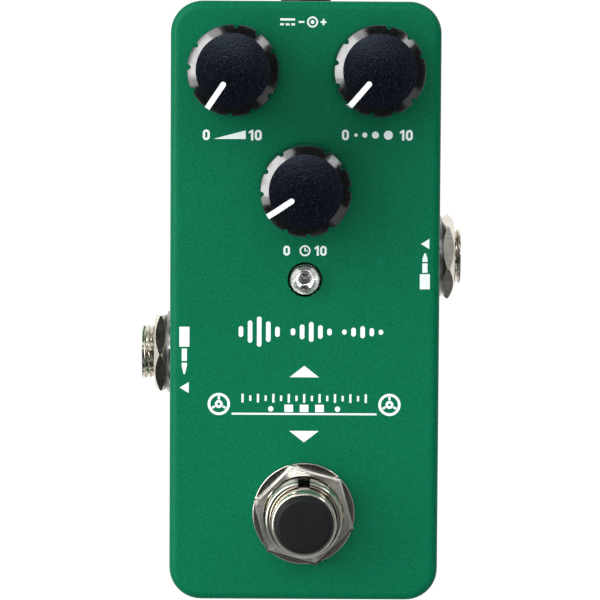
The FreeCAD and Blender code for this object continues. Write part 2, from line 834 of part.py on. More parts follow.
def make_pot_case(name, x, y):
    """Potentiometer case with its threaded neck, the hollow that its wiper turns in, and its stop."""
    body = new_body(f"{name}_pot_case", x, y, "control_top")
    outline = sketch(body, "XY_Plane")
    rectangle(outline, "-pot_case_width / 2", "pot_case_width / 2", "-pot_case_front", "0")
    pad(body, outline, "pot_case_height")
    back = sketch(body, "XY_Plane")
    circle(back, "0", "0", "pot_case_width / 2")
    pad(body, back, "pot_case_height")
    neck = sketch(body, "XY_Plane", "pot_case_height")
    circle(neck, "0", "0", "pot_bushing_radius")
    pad(body, neck, "pot_bushing_length")
    hollow = sketch(body, "XZ_Plane")
    points = [
        ("0", "pot_floor"),
        ("pot_cavity_radius", "pot_floor"),
        ("pot_cavity_radius", "pot_cavity_top"),
        ("pot_bore_radius", "pot_cavity_top"),
        ("pot_bore_radius", "pot_bushing_top"),
        ("0", "pot_bushing_top"),
    ]
    polygon(hollow, points)
    groove(body, hollow)
    stop = sketch(body, "XY_Plane", "pot_floor")
    inner = "-(pot_cavity_radius - pot_stop_depth)"
    rectangle(stop, "-pot_stop_width / 2", "pot_stop_width / 2", "-pot_case_front", inner)
    pad(body, stop, "pot_cavity_top - pot_floor")


def make_pot_legs(name, x, y):
    """The potentiometer's three legs, bent down into the board."""
    body = new_body(f"{name}_pot_legs", x, y, "control_top")
    face = "-pot_case_front"
    outer, inner = "pot_leg_y - pot_leg_thickness / 2", "pot_leg_y + pot_leg_thickness / 2"
    top, foot = "pot_floor + pot_leg_thickness", "-(board_thickness + pin_stub)"
    points = [(outer, foot), (inner, foot), (inner, "pot_floor")]
    points += [(face, "pot_floor"), (face, top), (outer, top)]
    for step in (-1, 0, 1):
        profile = sketch(body, "YZ_Plane", f"{step} * pot_leg_pitch")
        polygon(profile, points)
        pad(body, profile, "pot_leg_width", midplane=True)


def make_pot_fastenings():
    """One washer and one hexagonal nut on each potentiometer's neck, hidden under the knobs."""
    washers = new_body("pot_washers", z="panel_top")
    nuts = new_body("pot_nuts", z="panel_top + pot_washer_thickness")
    washer_plan, nut_plan = sketch(washers, "XY_Plane"), sketch(nuts, "XY_Plane")
    for x, y in KNOBS.values():
        circle(washer_plan, x, y, "pot_washer_radius")
        hexagon(nut_plan, x, y, "pot_nut_flats", "0")
        for drawing in (washer_plan, nut_plan):
            circle(drawing, x, y, "pot_bushing_radius + thread_gap")
    pad(washers, washer_plan, "pot_washer_thickness")
    pad(nuts, nut_plan, "pot_nut_thickness")


def make_shaft(name, x, y):
    """Potentiometer shaft: split top, neck that runs in the case, and the wiper with its stop tab."""
    body = new_body(f"{name}_shaft", x, y, "control_top", turn=f"{name}_angle")
    low, high = "(pot_floor + 2 * end_gap)", "(pot_cavity_top - 2 * end_gap)"
    profile = sketch(body, "XZ_Plane")
    points = [
        ("0", low),
        ("wiper_radius", low),
        ("wiper_radius", high),
        ("shaft_neck_radius", high),
        ("shaft_neck_radius", "shaft_foot"),
        ("shaft_radius", "shaft_foot"),
        ("shaft_radius", "shaft_end - shaft_bevel"),
        ("shaft_radius - shaft_bevel", "shaft_end"),
        ("0", "shaft_end"),
    ]
    polygon(profile, points)
    revolve(body, profile)
    tab = sketch(body, "XY_Plane", low)
    reach = "pot_cavity_radius - 2 * end_gap"
    rectangle(tab, "wiper_radius / 2", reach, "-wiper_tab_width / 2", "wiper_tab_width / 2")
    pad(body, tab, f"{high} - {low}")
    slot = sketch(body, "XY_Plane", "shaft_end")
    reach = "shaft_radius + wall"
    rectangle(slot, f"-({reach})", reach, "-shaft_slot_width / 2", "shaft_slot_width / 2")
    pocket(body, slot, "shaft_slot_depth")


# A knob's wall and top, from its foot to the middle of its shallow dome.
KNOB_WALL = [
    ("knob_radius", "0"),
    ("knob_top_radius", "knob_shoulder"),
    ("knob_face_radius", "knob_face"),
    ("knob_face_radius / 2", "knob_height - knob_dome / 4"),
]


def make_knob(name, x, y):
    """Moulded knob: bevelled top, wall with three groups of three notches, and a pointer groove."""
    body = new_body(f"{name}_knob", x, y, "knob_bottom", turn=f"{name}_angle")
    profile = sketch(body, "XZ_Plane")
    polygon(profile, [("0", "0")] + KNOB_WALL + [("0", "knob_height")])
    revolve(body, profile)
    hollow = sketch(body, "XZ_Plane")
    bore = "shaft_radius + running_gap / 2"
    points = [
        ("0", "0"),
        ("knob_hollow_radius", "0"),
        ("knob_hollow_radius", "knob_hollow_height"),
        (bore, "knob_hollow_height"),
        (bore, "knob_bore_height"),
        ("0", "knob_bore_height"),
    ]
    polygon(hollow, points)
    groove(body, hollow)
    notches = []
    inner, outer = "(knob_radius - knob_notch_depth)", "(knob_radius + knob_notch_depth)"
    for step in (1, 2, 3):
        notch = sketch(body, "XY_Plane", "knob_height")
        turn = f"({step} * knob_notch_step)"
        corners = [(f"{inner} * cos({turn})", f"{inner} * sin({turn})")]
        for side in (-1, 1):
            corner_x = f"{outer} * cos({turn}) - {side} * knob_notch_width * sin({turn})"
            corner_y = f"{outer} * sin({turn}) + {side} * knob_notch_width * cos({turn})"
            corners.append((corner_x, corner_y))
        polygon(notch, corners)
        notches.append(pocket(body, notch, "knob_height"))
    polar(body, notches, "knob_notch_groups")
    space = sketch(body, "XZ_Plane")
    outside, above = "knob_radius + wall", "knob_height + wall"
    points = pointer_floor() + [("pointer_start", above), (outside, above), (outside, "0")]
    polygon(space, points)
    pocket(body, space, "pointer_width", midplane=True)


def pointer_floor():
    """Bottom of the pointer's groove, from the knob's foot up to its inner end."""
    sunk = "pointer_depth"
    (foot_x, foot_z), (wall_x, wall_z), (face_x, face_z), (dome_x, dome_z) = KNOB_WALL
    return [
        (f"{foot_x} - {sunk}", foot_z),
        (f"{wall_x} - {sunk}", f"{wall_z} - {sunk} / 2"),
        (f"{face_x} - {sunk} / 2", f"{face_z} - {sunk}"),
        (dome_x, f"{dome_z} - {sunk}"),
        ("pointer_start", f"pointer_top - {sunk}"),
    ]


def make_pointer(name, x, y):
    """White pointer, let into the knob's top, bevel and wall."""
    body = new_body(f"{name}_pointer", x, y, "knob_bottom", turn=f"{name}_angle")
    profile = sketch(body, "XZ_Plane")
    polygon(profile, pointer_floor() + [("pointer_start", "pointer_top")] + KNOB_WALL[::-1])
    pad(body, profile, "pointer_width", midplane=True)


# Indicator lamp


def lead_outline(drawing, side):
    """One lead of the lamp: a wire below, and a wider post inside the lens."""
    outer = f"{side} * (lamp_lead_pitch / 2 + lamp_lead_side / 2)"
    inner = f"{side} * (lamp_lead_pitch / 2 - lamp_lead_side / 2)"
    post = f"{side} * (lamp_lead_pitch / 2 + lamp_lead_side / 2 - lamp_post_width)"
    foot, neck = "-(lamp_spacer_height + board_thickness + pin_stub)", "lamp_flange_height"
    points = [(outer, foot), (inner, foot), (inner, neck), (post, neck), (post, "lamp_post_height")]
    polygon(drawing, points + [(outer, "lamp_post_height")])


def make_lamp():
    """Clear round indicator lamp on a spacer, with its two leads."""
    lens = new_body("lamp_lens", "0", "lamp_y", "lamp_bottom")
    flange = sketch(lens, "XY_Plane")
    circle(flange, "0", "0", "lamp_flange_radius")
    pad(lens, flange, "lamp_flange_height")
    barrel = sketch(lens, "XY_Plane")
    circle(barrel, "0", "0", "lamp_radius")
    solid = pad(lens, barrel, "lamp_height")
    top_edge = ring_edges(solid, "lamp_radius", "lamp_height")
    dress(lens, "Fillet", solid, top_edge, "lamp_radius - thread_gap")
    leads = new_body("lamp_leads", "0", "lamp_y", "lamp_bottom")
    for side in (1, -1):
        space = sketch(lens, "XZ_Plane")
        lead_outline(space, side)
        pocket(lens, space, "lamp_lead_side", midplane=True)
        profile = sketch(leads, "XZ_Plane")
        lead_outline(profile, side)
        pad(leads, profile, "lamp_lead_side", midplane=True)

    spacer = new_body("lamp_spacer", "0", "lamp_y", "control_top")
    plan = sketch(spacer, "XY_Plane")
    circle(plan, "0", "0", "lamp_radius")
    for side in (1, -1):
        circle(plan, f"{side} * lamp_lead_pitch / 2", "0", "lamp_lead_side")
    pad(spacer, plan, "lamp_spacer_height")


# Foot switch


def make_switch_frame():
    """Metal top of the foot switch: a square frame and the threaded neck with its key slot."""
    body = new_body("switch_bushing", "0", "switch_y", "switch_frame_bottom")
    plate = sketch(body, "XY_Plane")
    centred_rectangle(plate, "0", "0", "switch_case_side", "switch_case_side")
    pad(body, plate, "switch_frame_thickness")
    top = "panel_top + switch_thread_rise - switch_frame_bottom"
    neck = sketch(body, "XY_Plane")
    circle(neck, "0", "0", "switch_thread_radius")
    tube = pad(body, neck, top)
    rim = ring_edges(tube, "switch_thread_radius", top)
    dress(body, "Chamfer", tube, rim, "switch_thread_bevel")
    bore = sketch(body, "XY_Plane", top)
    circle(bore, "0", "0", "switch_bore_radius")
    pocket(body, bore, top)
    key = sketch(body, "XY_Plane", top)
    low, high = "switch_bore_radius / 2", "switch_thread_radius + wall"
    rectangle(key, "-switch_key_width / 2", "switch_key_width / 2", low, high)
    pocket(body, key, f"{top} - switch_frame_thickness")


def make_switch_case():
    """Moulded case of the foot switch, open at the top, with nine slots for its lugs."""
    body = new_body("switch_case", "0", "switch_y", "main_top")
    outline = sketch(body, "XY_Plane")
    centred_rectangle(outline, "0", "0", "switch_case_side", "switch_case_side")
    pad(body, outline, "switch_case_height")
    inside = sketch(body, "XY_Plane", "switch_case_height")
    clear = "switch_case_side - 2 * switch_case_wall"
    centred_rectangle(inside, "0", "0", clear, clear)
    pocket(body, inside, "switch_case_height - switch_floor")
    slots = sketch(body, "XY_Plane")
    lug_rectangles(slots, "0")
    pocket(body, slots, "switch_floor", reverse=True)


def make_switch_contacts():
    """Nine lugs, three contact arms that tilt on the middle lugs, and the rocker on the arms."""
    lugs = new_body("switch_lugs", "0", "switch_y", "tail_end")
    plan = sketch(lugs, "XY_Plane")
    lug_rectangles(plan, "0")
    pad(lugs, plan, "switch_lug_top - tail_end")

    reach = "switch_lug_row + switch_lug_thickness"
    thick = "switch_arm_thickness"
    arms = new_body("switch_arms", "0", "switch_y", "switch_lug_top")
    points = [
        (f"-({reach})", "0"),
        ("0", "0"),
        (reach, "switch_arm_rise"),
        (reach, f"switch_arm_rise + {thick}"),
        ("0", thick),
        (f"-({reach})", thick),
    ]
    for column in (-1, 0, 1):
        profile = sketch(arms, "YZ_Plane", f"{column} * switch_lug_column")
        polygon(profile, points)
        pad(arms, profile, "switch_arm_width", midplane=True)

    rocker = new_body("switch_rocker", "0", "switch_y", "switch_lug_top")
    top = f"{thick} + switch_rocker_height"
    underside = points[:2:-1]
    profile = sketch(rocker, "YZ_Plane")
    polygon(profile, underside + [(reach, top), (f"-({reach})", top)])
    pad(rocker, profile, "2 * switch_lug_column + switch_arm_width", midplane=True)
    spigot = sketch(rocker, "XY_Plane", top)
    circle(spigot, "0", "0", "switch_spigot_radius")
    pad(rocker, spigot, "switch_spigot_height")


def make_switch_spring():
    """Coil spring that lifts the plunger."""
    body = new_body("switch_spring", "0", "switch_y", "switch_rocker_top + end_gap + spring_wire_radius")
    wire = sketch(body, "XZ_Plane")
    circle(wire, "spring_radius", "0", "spring_wire_radius")
    coil = body.newObject("PartDesign::AdditiveHelix", "Helix")
    coil.Profile = wire
    coil.ReferenceAxis = (wire, ["V_Axis"])
    coil.Mode = "height-turns-angle"
    bind(coil, "Height", "spring_height")
    bind(coil, "Turns", "spring_turns")
    doc.recompute()


def make_plunger():
    """Chromed plunger with a retaining flange, and the black cap pressed into its top."""
    plunger = new_body("plunger", "0", "switch_y", "plunger_bottom")
    top = "plunger_top - plunger_bottom"
    profile = sketch(plunger, "XZ_Plane")
    points = [
        ("0", "-switch_spigot_height"),
        ("switch_spigot_radius", "-switch_spigot_height"),
        ("switch_spigot_radius", "0"),
        ("plunger_flange_radius", "0"),
        ("plunger_flange_radius", "plunger_flange_thickness"),
        ("plunger_radius", "plunger_flange_thickness"),
        ("plunger_radius", top),
        ("cap_stem_radius", top),
        ("cap_stem_radius", f"{top} - cap_stem_depth"),
        ("0", f"{top} - cap_stem_depth"),
    ]
    polygon(profile, points)
    turned = revolve(plunger, profile)
    dress(plunger, "Fillet", turned, ring_edges(turned, "plunger_radius", top), "plunger_edge")

    cap = new_body("plunger_cap", "0", "switch_y", "plunger_top")
    profile = sketch(cap, "XZ_Plane")
    stem = "cap_stem_radius - thread_gap / 2"
    points = [
        ("0", "end_gap - cap_stem_depth"),
        (stem, "end_gap - cap_stem_depth"),
        (stem, "0"),
        ("cap_radius", "0"),
        ("cap_radius", "cap_rise"),
        ("0", "cap_rise"),
    ]
    polygon(profile, points)
    turned = revolve(cap, profile)
    dress(cap, "Fillet", turned, ring_edges(turned, "cap_radius", "cap_rise"), "cap_round")


def switch_ring(label, radius, thickness, z):
    """A flat washer round the foot switch's neck."""
    body = new_body(label, "0", "switch_y", z)
    plan = sketch(body, "XY_Plane")
    circle(plan, "0", "0", radius)
    circle(plan, "0", "0", "switch_thread_radius + thread_gap")
    pad(body, plan, thickness)
    return body


def make_switch_fastenings():
    """Outer washer and nut over the panel, toothed lock washer and inner nut under it."""
    hole = "switch_thread_radius + thread_gap"
    switch_ring("switch_washer", "switch_washer_radius", "switch_washer_thickness", "panel_top")

    nut = new_body("switch_nut", "0", "switch_y", "panel_top + switch_washer_thickness")
    nut_prism(nut, "switch_nut", hole, "0")

    thick = "switch_lock_thickness"
    lock = switch_ring("switch_lock_washer", "switch_lock_radius", thick, "switch_lock_bottom")
    gap = sketch(lock, "XY_Plane")
    low, high = "switch_lock_radius - switch_lock_tooth", "switch_lock_radius + wall"
    rectangle(gap, low, high, "-switch_lock_tooth / 2", "switch_lock_tooth / 2")
    polar(lock, [pocket(lock, gap, thick, reverse=True)], "switch_lock_teeth")

    inner = new_body("switch_inner_nut", "0", "switch_y", "switch_inner_nut_bottom")
    plan = sketch(inner, "XY_Plane")
    hexagon(plan, "0", "0", "switch_nut_flats", "0")
    circle(plan, "0", "0", hole)
    pad(inner, plan, "switch_inner_nut_thickness")


def nut_prism(body, kind, hole, foot, turn="switch_nut_turn"):
    """Hexagonal nut of one kind, whose corners are turned down to a cone on both faces."""
    flats, thickness, bevel = f"{kind}_flats", f"{kind}_thickness", f"{kind}_bevel"
    plan = sketch(body, "XY_Plane", foot)
    hexagon(plan, "0", "0", flats, turn)
    circle(plan, "0", "0", hole)
    pad(body, plan, thickness)
    corner = f"({flats} / sqrt(3))"
    beyond = f"({corner} + wall)"
    drop = f"({bevel} * ({beyond} - {flats} / 2) / ({corner} - {flats} / 2))"
    for face, slope in ((f"({foot})", f"+ {drop}"), (f"({foot} + {thickness})", f"- {drop}")):
        rim = sketch(body, "XZ_Plane")
        polygon(rim, [(f"{flats} / 2", face), (beyond, face), (beyond, f"{face} {slope}")])
        groove(body, rim)


# Jack sockets, each drawn along its own axis: 0 is the outer face of the side wall, and the
# drawing's Y points up on the finished pedal.


def jack_body(name, part):
    """A new sub-part of one jack socket, on that socket's axis."""
    side = JACKS[name]
    x, axis = f"{side} * half_width", f"1; {side}; {side}"
    return new_body(f"{name}_jack_{part}", x, f"{name}_y", "jack_height", axis, "120")


def make_jack_case(name):
    """Moulded box of a jack socket, with the way for the plug and the slots for its contacts."""
    body = jack_body(name, "case")
    outline = sketch(body, "XY_Plane", "-wall")
    centred_rectangle(outline, "0", "0", "jack_case_width", "jack_case_height")
    pad(body, outline, "jack_case_length", reverse=True)
    plug_way = sketch(body, "XZ_Plane")
    tube = "jack_thread_radius + slot_gap"
    points = [
        ("0", "-wall"),
        ("jack_seat_radius", "-wall"),
        ("jack_seat_radius", "jack_lug_back - slot_gap"),
        (tube, "jack_lug_back - slot_gap"),
        (tube, "-jack_tube_depth - slot_gap"),
        ("jack_plug_radius", "-jack_tube_depth - slot_gap"),
        ("jack_plug_radius", "-jack_plug_depth"),
        ("0", "-jack_plug_depth"),
    ]
    polygon(plug_way, points)
    groove(body, plug_way)
    lug_slot = sketch(body, "XY_Plane", "-wall")
    half = "(jack_lug_width / 2 + slot_gap)"
    rectangle(lug_slot, f"-{half}", half, "-jack_case_height / 2", "-jack_thread_radius")
    pocket(body, lug_slot, "jack_flange_thickness + jack_lug_thickness + slot_gap")
    width = "jack_leaf_width + 2 * slot_gap"
    leaf_room = sketch(body, "YZ_Plane")
    high = "jack_leaf_height + 2 * jack_leaf_thickness"
    back = "jack_root - jack_leaf_thickness"
    rectangle(leaf_room, "0", high, back, "jack_root + jack_leaf_length + jack_leaf_thickness")
    pocket(body, leaf_room, width, midplane=True)
    root_slot = sketch(body, "YZ_Plane")
    rectangle(root_slot, "-jack_case_height / 2", "0", back, "jack_root + jack_leaf_thickness")
    pocket(body, root_slot, width, midplane=True)


def make_jack_metal(name):
    """Threaded tube of a jack socket, its sleeve lug and the leaf that meets the plug's tip."""
    tube = jack_body(name, "bushing")
    profile = sketch(tube, "XZ_Plane")
    rise = f"{name}_thread_rise"
    points = [
        ("jack_bore_radius", "-jack_tube_depth"),
        ("jack_thread_radius", "-jack_tube_depth"),
        ("jack_thread_radius", "jack_flange_back"),
        ("jack_flange_radius", "jack_flange_back"),
        ("jack_flange_radius", "-wall"),
        ("jack_thread_radius", "-wall"),
        ("jack_thread_radius", f"{rise} - jack_thread_bevel"),
        ("jack_thread_radius - jack_thread_bevel", rise),
        ("jack_bore_radius", rise),
    ]
    polygon(profile, points)
    revolve(tube, profile)

    lug = jack_body(name, "sleeve_lug")
    plan = sketch(lug, "XY_Plane", "jack_lug_back")
    circle(plan, "0", "0", "jack_flange_radius")
    circle(plan, "0", "0", "jack_thread_radius + thread_gap")
    pad(lug, plan, "jack_lug_thickness")
    tail = sketch(lug, "XY_Plane", "jack_lug_back")
    top = "-(jack_thread_radius + jack_flange_radius) / 2"
    rectangle(tail, "-jack_lug_width / 2", "jack_lug_width / 2", "jack_tail", top)
    pad(lug, tail, "jack_lug_thickness")

    leaf = jack_body(name, "tip_leaf")
    profile = sketch(leaf, "YZ_Plane")
    line = [
        ("jack_leaf_height", "0"),
        ("jack_leaf_height", "jack_leaf_flat"),
        ("jack_leaf_height - jack_leaf_dip", "jack_leaf_crest"),
        ("jack_leaf_height - jack_leaf_dip / 2", "jack_leaf_length"),
    ]
    half = "jack_leaf_thickness / 2"
    above = [(f"{y} + {half}", f"jack_root + {z}") for y, z in line]
    below = [(f"{y} - {half}", f"jack_root + {z}") for y, z in line]
    above[0] = (above[0][0], f"jack_root - {half}")
    below[0] = (below[0][0], f"jack_root + {half}")
    foot = [("jack_tail", f"jack_root + {half}"), ("jack_tail", f"jack_root - {half}")]
    polygon(profile, above + below[::-1] + foot)
    pad(leaf, profile, "jack_leaf_width", midplane=True)


def make_jack_nut(name):
    """Hexagonal nut that holds a jack socket in the side wall."""
    hole = "jack_thread_radius + thread_gap"
    nut_prism(jack_body(name, "nut"), "jack_nut", hole, "jack_nut_foot", f"{name}_nut_turn")


def make_jack_washers():
    """A flat washer and a lock washer under each jack's nut."""
    kinds = [
        ("jack_washers", "jack_washer_radius", "0", "jack_washer_thickness"),
        ("jack_lock_washers", "jack_lock_radius", "jack_washer_thickness", "jack_lock_thickness"),
    ]
    for label, radius, foot, thickness in kinds:
        body = new_body(label)
        for name, side in JACKS.items():
            plan = sketch(body, "YZ_Plane", f"{side} * (half_width + {foot})")
            for size in (radius, "jack_thread_radius + thread_gap"):
                circle(plan, f"{name}_y", "jack_height", size)
            pad(body, plan, thickness, reverse=side < 0)


# Power socket, drawn along its own axis like the jacks: 0 is the outer face of the rear wall.


def make_power_socket():
    """Round power socket: its case and collar, its centre pin and the leaf beside the plug."""
    where = ("0", "half_length", "jack_height", "0; 1; 1", "180")
    case = new_body("power_socket_case", *where)
    outline = sketch(case, "XY_Plane", "-wall")
    half = "power_case_width / 2"
    rectangle(outline, f"-{half}", half, "power_case_below", "power_case_above")
    pad(case, outline, "power_case_length", reverse=True)
    collar = sketch(case, "XY_Plane", "-wall")
    circle(collar, "0", "0", "power_collar_radius")
    pad(case, collar, "wall + power_collar_rise")
    bore = sketch(case, "XY_Plane", "power_collar_rise")
    circle(bore, "0", "0", "power_bore_radius")
    pocket(case, bore, "power_bore_depth")
    pin_hole = sketch(case, "XY_Plane", "power_bore_end")
    circle(pin_hole, "0", "0", "power_root_radius")
    pocket(case, pin_hole, "power_bore_end - power_case_back")
    slot = sketch(case, "YZ_Plane")
    top = "-(power_bore_radius - 2 * power_leaf_thickness)"
    front = "power_leaf_back + power_leaf_length + slot_gap"
    rectangle(slot, "power_case_below", top, "power_leaf_back - slot_gap", front)
    pocket(case, slot, "power_leaf_width + 2 * slot_gap", midplane=True)

    pin = new_body("power_socket_pin", *where)
    end, back = "power_collar_rise - power_pin_recess", "power_case_back - power_leg_thickness"
    root = sketch(pin, "XY_Plane", back)
    circle(root, "0", "0", "power_root_radius")
    pad(pin, root, f"power_bore_end - ({back})")
    rod = sketch(pin, "XY_Plane", "power_bore_end")
    circle(rod, "0", "0", "power_pin_radius")
    solid = pad(pin, rod, f"{end} - power_bore_end")
    dress(pin, "Fillet", solid, ring_edges(solid, "power_pin_radius", end), "power_pin_round")
    leg = sketch(pin, "XY_Plane", back)
    rectangle(leg, "-power_leg_width / 2", "power_leg_width / 2", "jack_tail", "0")
    pad(pin, leg, "power_leg_thickness")

    leaf = new_body("power_socket_leaf", *where)
    profile = sketch(leaf, "YZ_Plane")
    thick, back = "power_leaf_thickness", "power_leaf_back"
    low, high = f"-(power_bore_radius + {thick})", f"-(power_bore_radius - {thick})"
    middle, front = f"{back} + power_leaf_crest", f"{back} + power_leaf_length"
    points = [
        ("jack_tail", back),
        (f"{low} + {thick}", back),
        (high, middle),
        (f"{low} + {thick}", front),
        (low, front),
        (f"{high} - {thick}", middle),
        (low, f"{back} + {thick}"),
        ("jack_tail", f"{back} + {thick}"),
    ]
    polygon(profile, points)
    pad(leaf, profile, "power_leaf_width", midplane=True)


# Parts soldered on the main board


def make_chip(name):
    """Moulded chip with a row of bent legs along each side; its sizes bear its name."""
    body = new_body(name, f"{name}_x", f"{name}_y", "main_top")
    block = sketch(body, "XY_Plane", "chip_standoff")
    centred_rectangle(block, "0", "0", f"{name}_length", f"{name}_width")
    pad(body, block, f"{name}_height")
    side, middle = f"{name}_width / 2", f"chip_standoff + {name}_height / 2"
    thick, reach = "chip_leg_thickness", "chip_leg_reach"
    points = [
        (f"{side} - {thick}", f"{middle} + {thick} / 2"),
        (f"{side} + {reach} / 2", f"{middle} + {thick} / 2"),
        (f"{side} + {reach} / 2", thick),
        (f"{side} + {reach}", thick),
        (f"{side} + {reach}", "0"),
        (f"{side} + {reach} / 2 - {thick}", "0"),
        (f"{side} + {reach} / 2 - {thick}", f"{middle} - {thick} / 2"),
        (f"{side} - {thick}", f"{middle} - {thick} / 2"),
    ]
    row_length = f"({name}_legs - 1) * chip_leg_pitch"
    profile = sketch(body, "YZ_Plane", f"-({row_length}) / 2")
    polygon(profile, points)
    leg = pad(body, profile, "chip_leg_width", midplane=True)
    pattern = body.newObject("PartDesign::MultiTransform", "MultiTransform")
    pattern.Originals = [leg]
    row = doc.addObject("PartDesign::LinearPattern", "LegRow")
    row.Direction = (own_origin(body, "X_Axis"), [""])
    bind(row, "Occurrences", f"{name}_legs")
    bind(row, "Length", row_length)
    other_side = doc.addObject("PartDesign::Mirrored", "OtherSide")
    other_side.MirrorPlane = (own_origin(body, "XZ_Plane"), [""])
    pattern.Transformations = [row, other_side]
    body.Tip = pattern
    doc.recompute()


def make_capacitors():
    """Three upright capacitor cans with their leads."""
    body = new_body("capacitors", "capacitor_x", "capacitor_front_y", "capacitor_bottom")
    profile = sketch(body, "XZ_Plane")
    rise = "capacitor_groove_rise"
    points = [
        ("0", "0"),
        ("capacitor_radius", "0"),
        ("capacitor_radius", f"{rise} - capacitor_groove"),
        ("capacitor_radius - capacitor_groove", rise),
        ("capacitor_radius", f"{rise} + capacitor_groove"),
        ("capacitor_radius", "capacitor_height"),
        ("0", "capacitor_height"),
    ]
    polygon(profile, points)
    can = revolve(body, profile)
    leads = sketch(body, "XY_Plane")
    for side in (1, -1):
        circle(leads, f"{side} * capacitor_lead_pitch / 2", "0", "capacitor_lead_radius")
    wires = pad(body, leads, "capacitor_bottom - tail_end", reverse=True)
    linear(body, [can, wires], "Y_Axis", "capacitor_count", "capacitor_pitch")


def make_resistors():
    """Six small chip resistors in two columns."""
    body = new_body("resistors", "resistor_x", "resistor_y", "main_top")
    plan = sketch(body, "XY_Plane")
    for column in (-1, 1):
        for row in (-1, 0, 1):
            x, y = f"{column} * resistor_pitch_x / 2", f"{row} * resistor_pitch_y"
            centred_rectangle(plan, x, y, "resistor_length", "resistor_width")
    pad(body, plan, "resistor_height")


# Assembly

make_enclosure()
make_base_plate()
make_base_screws()
make_rubber_pad()
make_control_board()
make_main_board()
make_header()
for knob_name, knob_place in KNOBS.items():
    make_pot_case(knob_name, *knob_place)
    make_pot_legs(knob_name, *knob_place)
    make_shaft(knob_name, *knob_place)
    make_knob(knob_name, *knob_place)
    make_pointer(knob_name, *knob_place)
make_pot_fastenings()
make_lamp()
make_switch_frame()
make_switch_case()
make_switch_contacts()
make_switch_spring()
make_plunger()
make_switch_fastenings()
for jack_name in JACKS:
    make_jack_case(jack_name)
    make_jack_metal(jack_name)
    make_jack_nut(jack_name)
make_jack_washers()
make_power_socket()
for chip_name in ("delay_chip", "op_amp", "regulator"):
    make_chip(chip_name)
make_capacitors()
make_resistors()

doc.recompute()
for thing in doc.Objects:
    if "Invalid" in thing.State or "Error" in thing.State:
        raise RuntimeError(f"{thing.Label} is {thing.State}")
for label, piece in pieces.items():
    if piece.Shape.isNull() or not piece.Shape.isValid():
        raise RuntimeError(f"{label} has no valid shape")

os.makedirs("parts", exist_ok=True)
for label, piece in pieces.items():
    piece.Shape.exportStep(f"parts/{label}.step")
print(len(pieces), "pieces")
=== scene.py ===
"""Tape echo pedal: the pieces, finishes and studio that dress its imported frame."""

import math

import bmesh
import bpy
from mathutils import Matrix, Vector


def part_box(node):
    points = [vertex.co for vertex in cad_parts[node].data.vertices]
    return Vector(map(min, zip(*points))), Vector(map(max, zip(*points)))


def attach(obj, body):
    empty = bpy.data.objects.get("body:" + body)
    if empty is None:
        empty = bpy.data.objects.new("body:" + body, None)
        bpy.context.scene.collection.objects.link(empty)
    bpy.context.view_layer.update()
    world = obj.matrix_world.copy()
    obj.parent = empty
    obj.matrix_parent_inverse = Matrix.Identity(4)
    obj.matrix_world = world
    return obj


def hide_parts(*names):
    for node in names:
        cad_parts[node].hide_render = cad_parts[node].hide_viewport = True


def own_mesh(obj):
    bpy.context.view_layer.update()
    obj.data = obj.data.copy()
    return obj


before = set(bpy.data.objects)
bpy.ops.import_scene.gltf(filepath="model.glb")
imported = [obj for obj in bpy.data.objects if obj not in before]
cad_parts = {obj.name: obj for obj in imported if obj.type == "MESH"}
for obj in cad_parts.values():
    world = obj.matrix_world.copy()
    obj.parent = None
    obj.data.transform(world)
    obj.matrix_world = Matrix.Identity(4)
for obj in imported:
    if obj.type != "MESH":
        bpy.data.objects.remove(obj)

bl_info = {
    "name": "Tape Echo Pedal",
    "version": (1, 0, 0),
    "blender": (4, 5, 0),
    "location": "3D View > Sidebar > Pedal",
    "description": "Knobs, foot switch, lamp, jacks, panel print and finishes of a tape echo pedal",
    "category": "Object",
}

MM = 0.001
BODY = "pedal_body"
CONTROLS = ("level", "repeat", "time")
# where each knob points at rest, in degrees about Z from +X
TURNS = {"level": -124.0, "repeat": -130.6, "time": -146.3}
# each jack's side of the case, and how far its nut stands turned, in degrees
JACKS = {"input": (1, 44.3), "output": (-1, 90.0)}
# the panel's height, the side walls' distance from the middle, and the middles of lamp and foot switch
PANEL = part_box("enclosure")[1].z
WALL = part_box("enclosure")[1].x
LAMP = sum(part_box("lamp_lens"), Vector()) / 2
SWITCH = sum(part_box("switch_washer"), Vector()) / 2
SWITCH_PLACE = Matrix.Translation((SWITCH.x, SWITCH.y, 0))
# how far the middle of a knob's face stands above its edge
CROWN = 0.3 * MM
# a wave texture of scale 1 repeats once in this length
WAVE = math.tau / 20


def linear(code):
    """An sRGB hex value as the linear colour that sockets and properties hold."""
    levels = [int(code[at : at + 2], 16) / 255 for at in (1, 3, 5)]
    return [v / 12.92 if v <= 0.04045 else ((v + 0.055) / 1.055) ** 2.4 for v in levels] + [1.0]


def per(millimetres):
    """Texture scale that repeats once in so many millimetres."""
    return 1 / (millimetres * MM)


# Sizes and colours that a user would change


def colour(name, code, description):
    """A colour property with its default as an sRGB hex value."""
    return bpy.props.FloatVectorProperty(
        name=name, description=description, default=linear(code), size=4, min=0, max=1, subtype="COLOR"
    )


def length(name, millimetres, description):
    """A length property with its default in millimetres."""
    return bpy.props.FloatProperty(
        name=name, description=description, default=millimetres * MM, min=0, unit="LENGTH", precision=5
    )


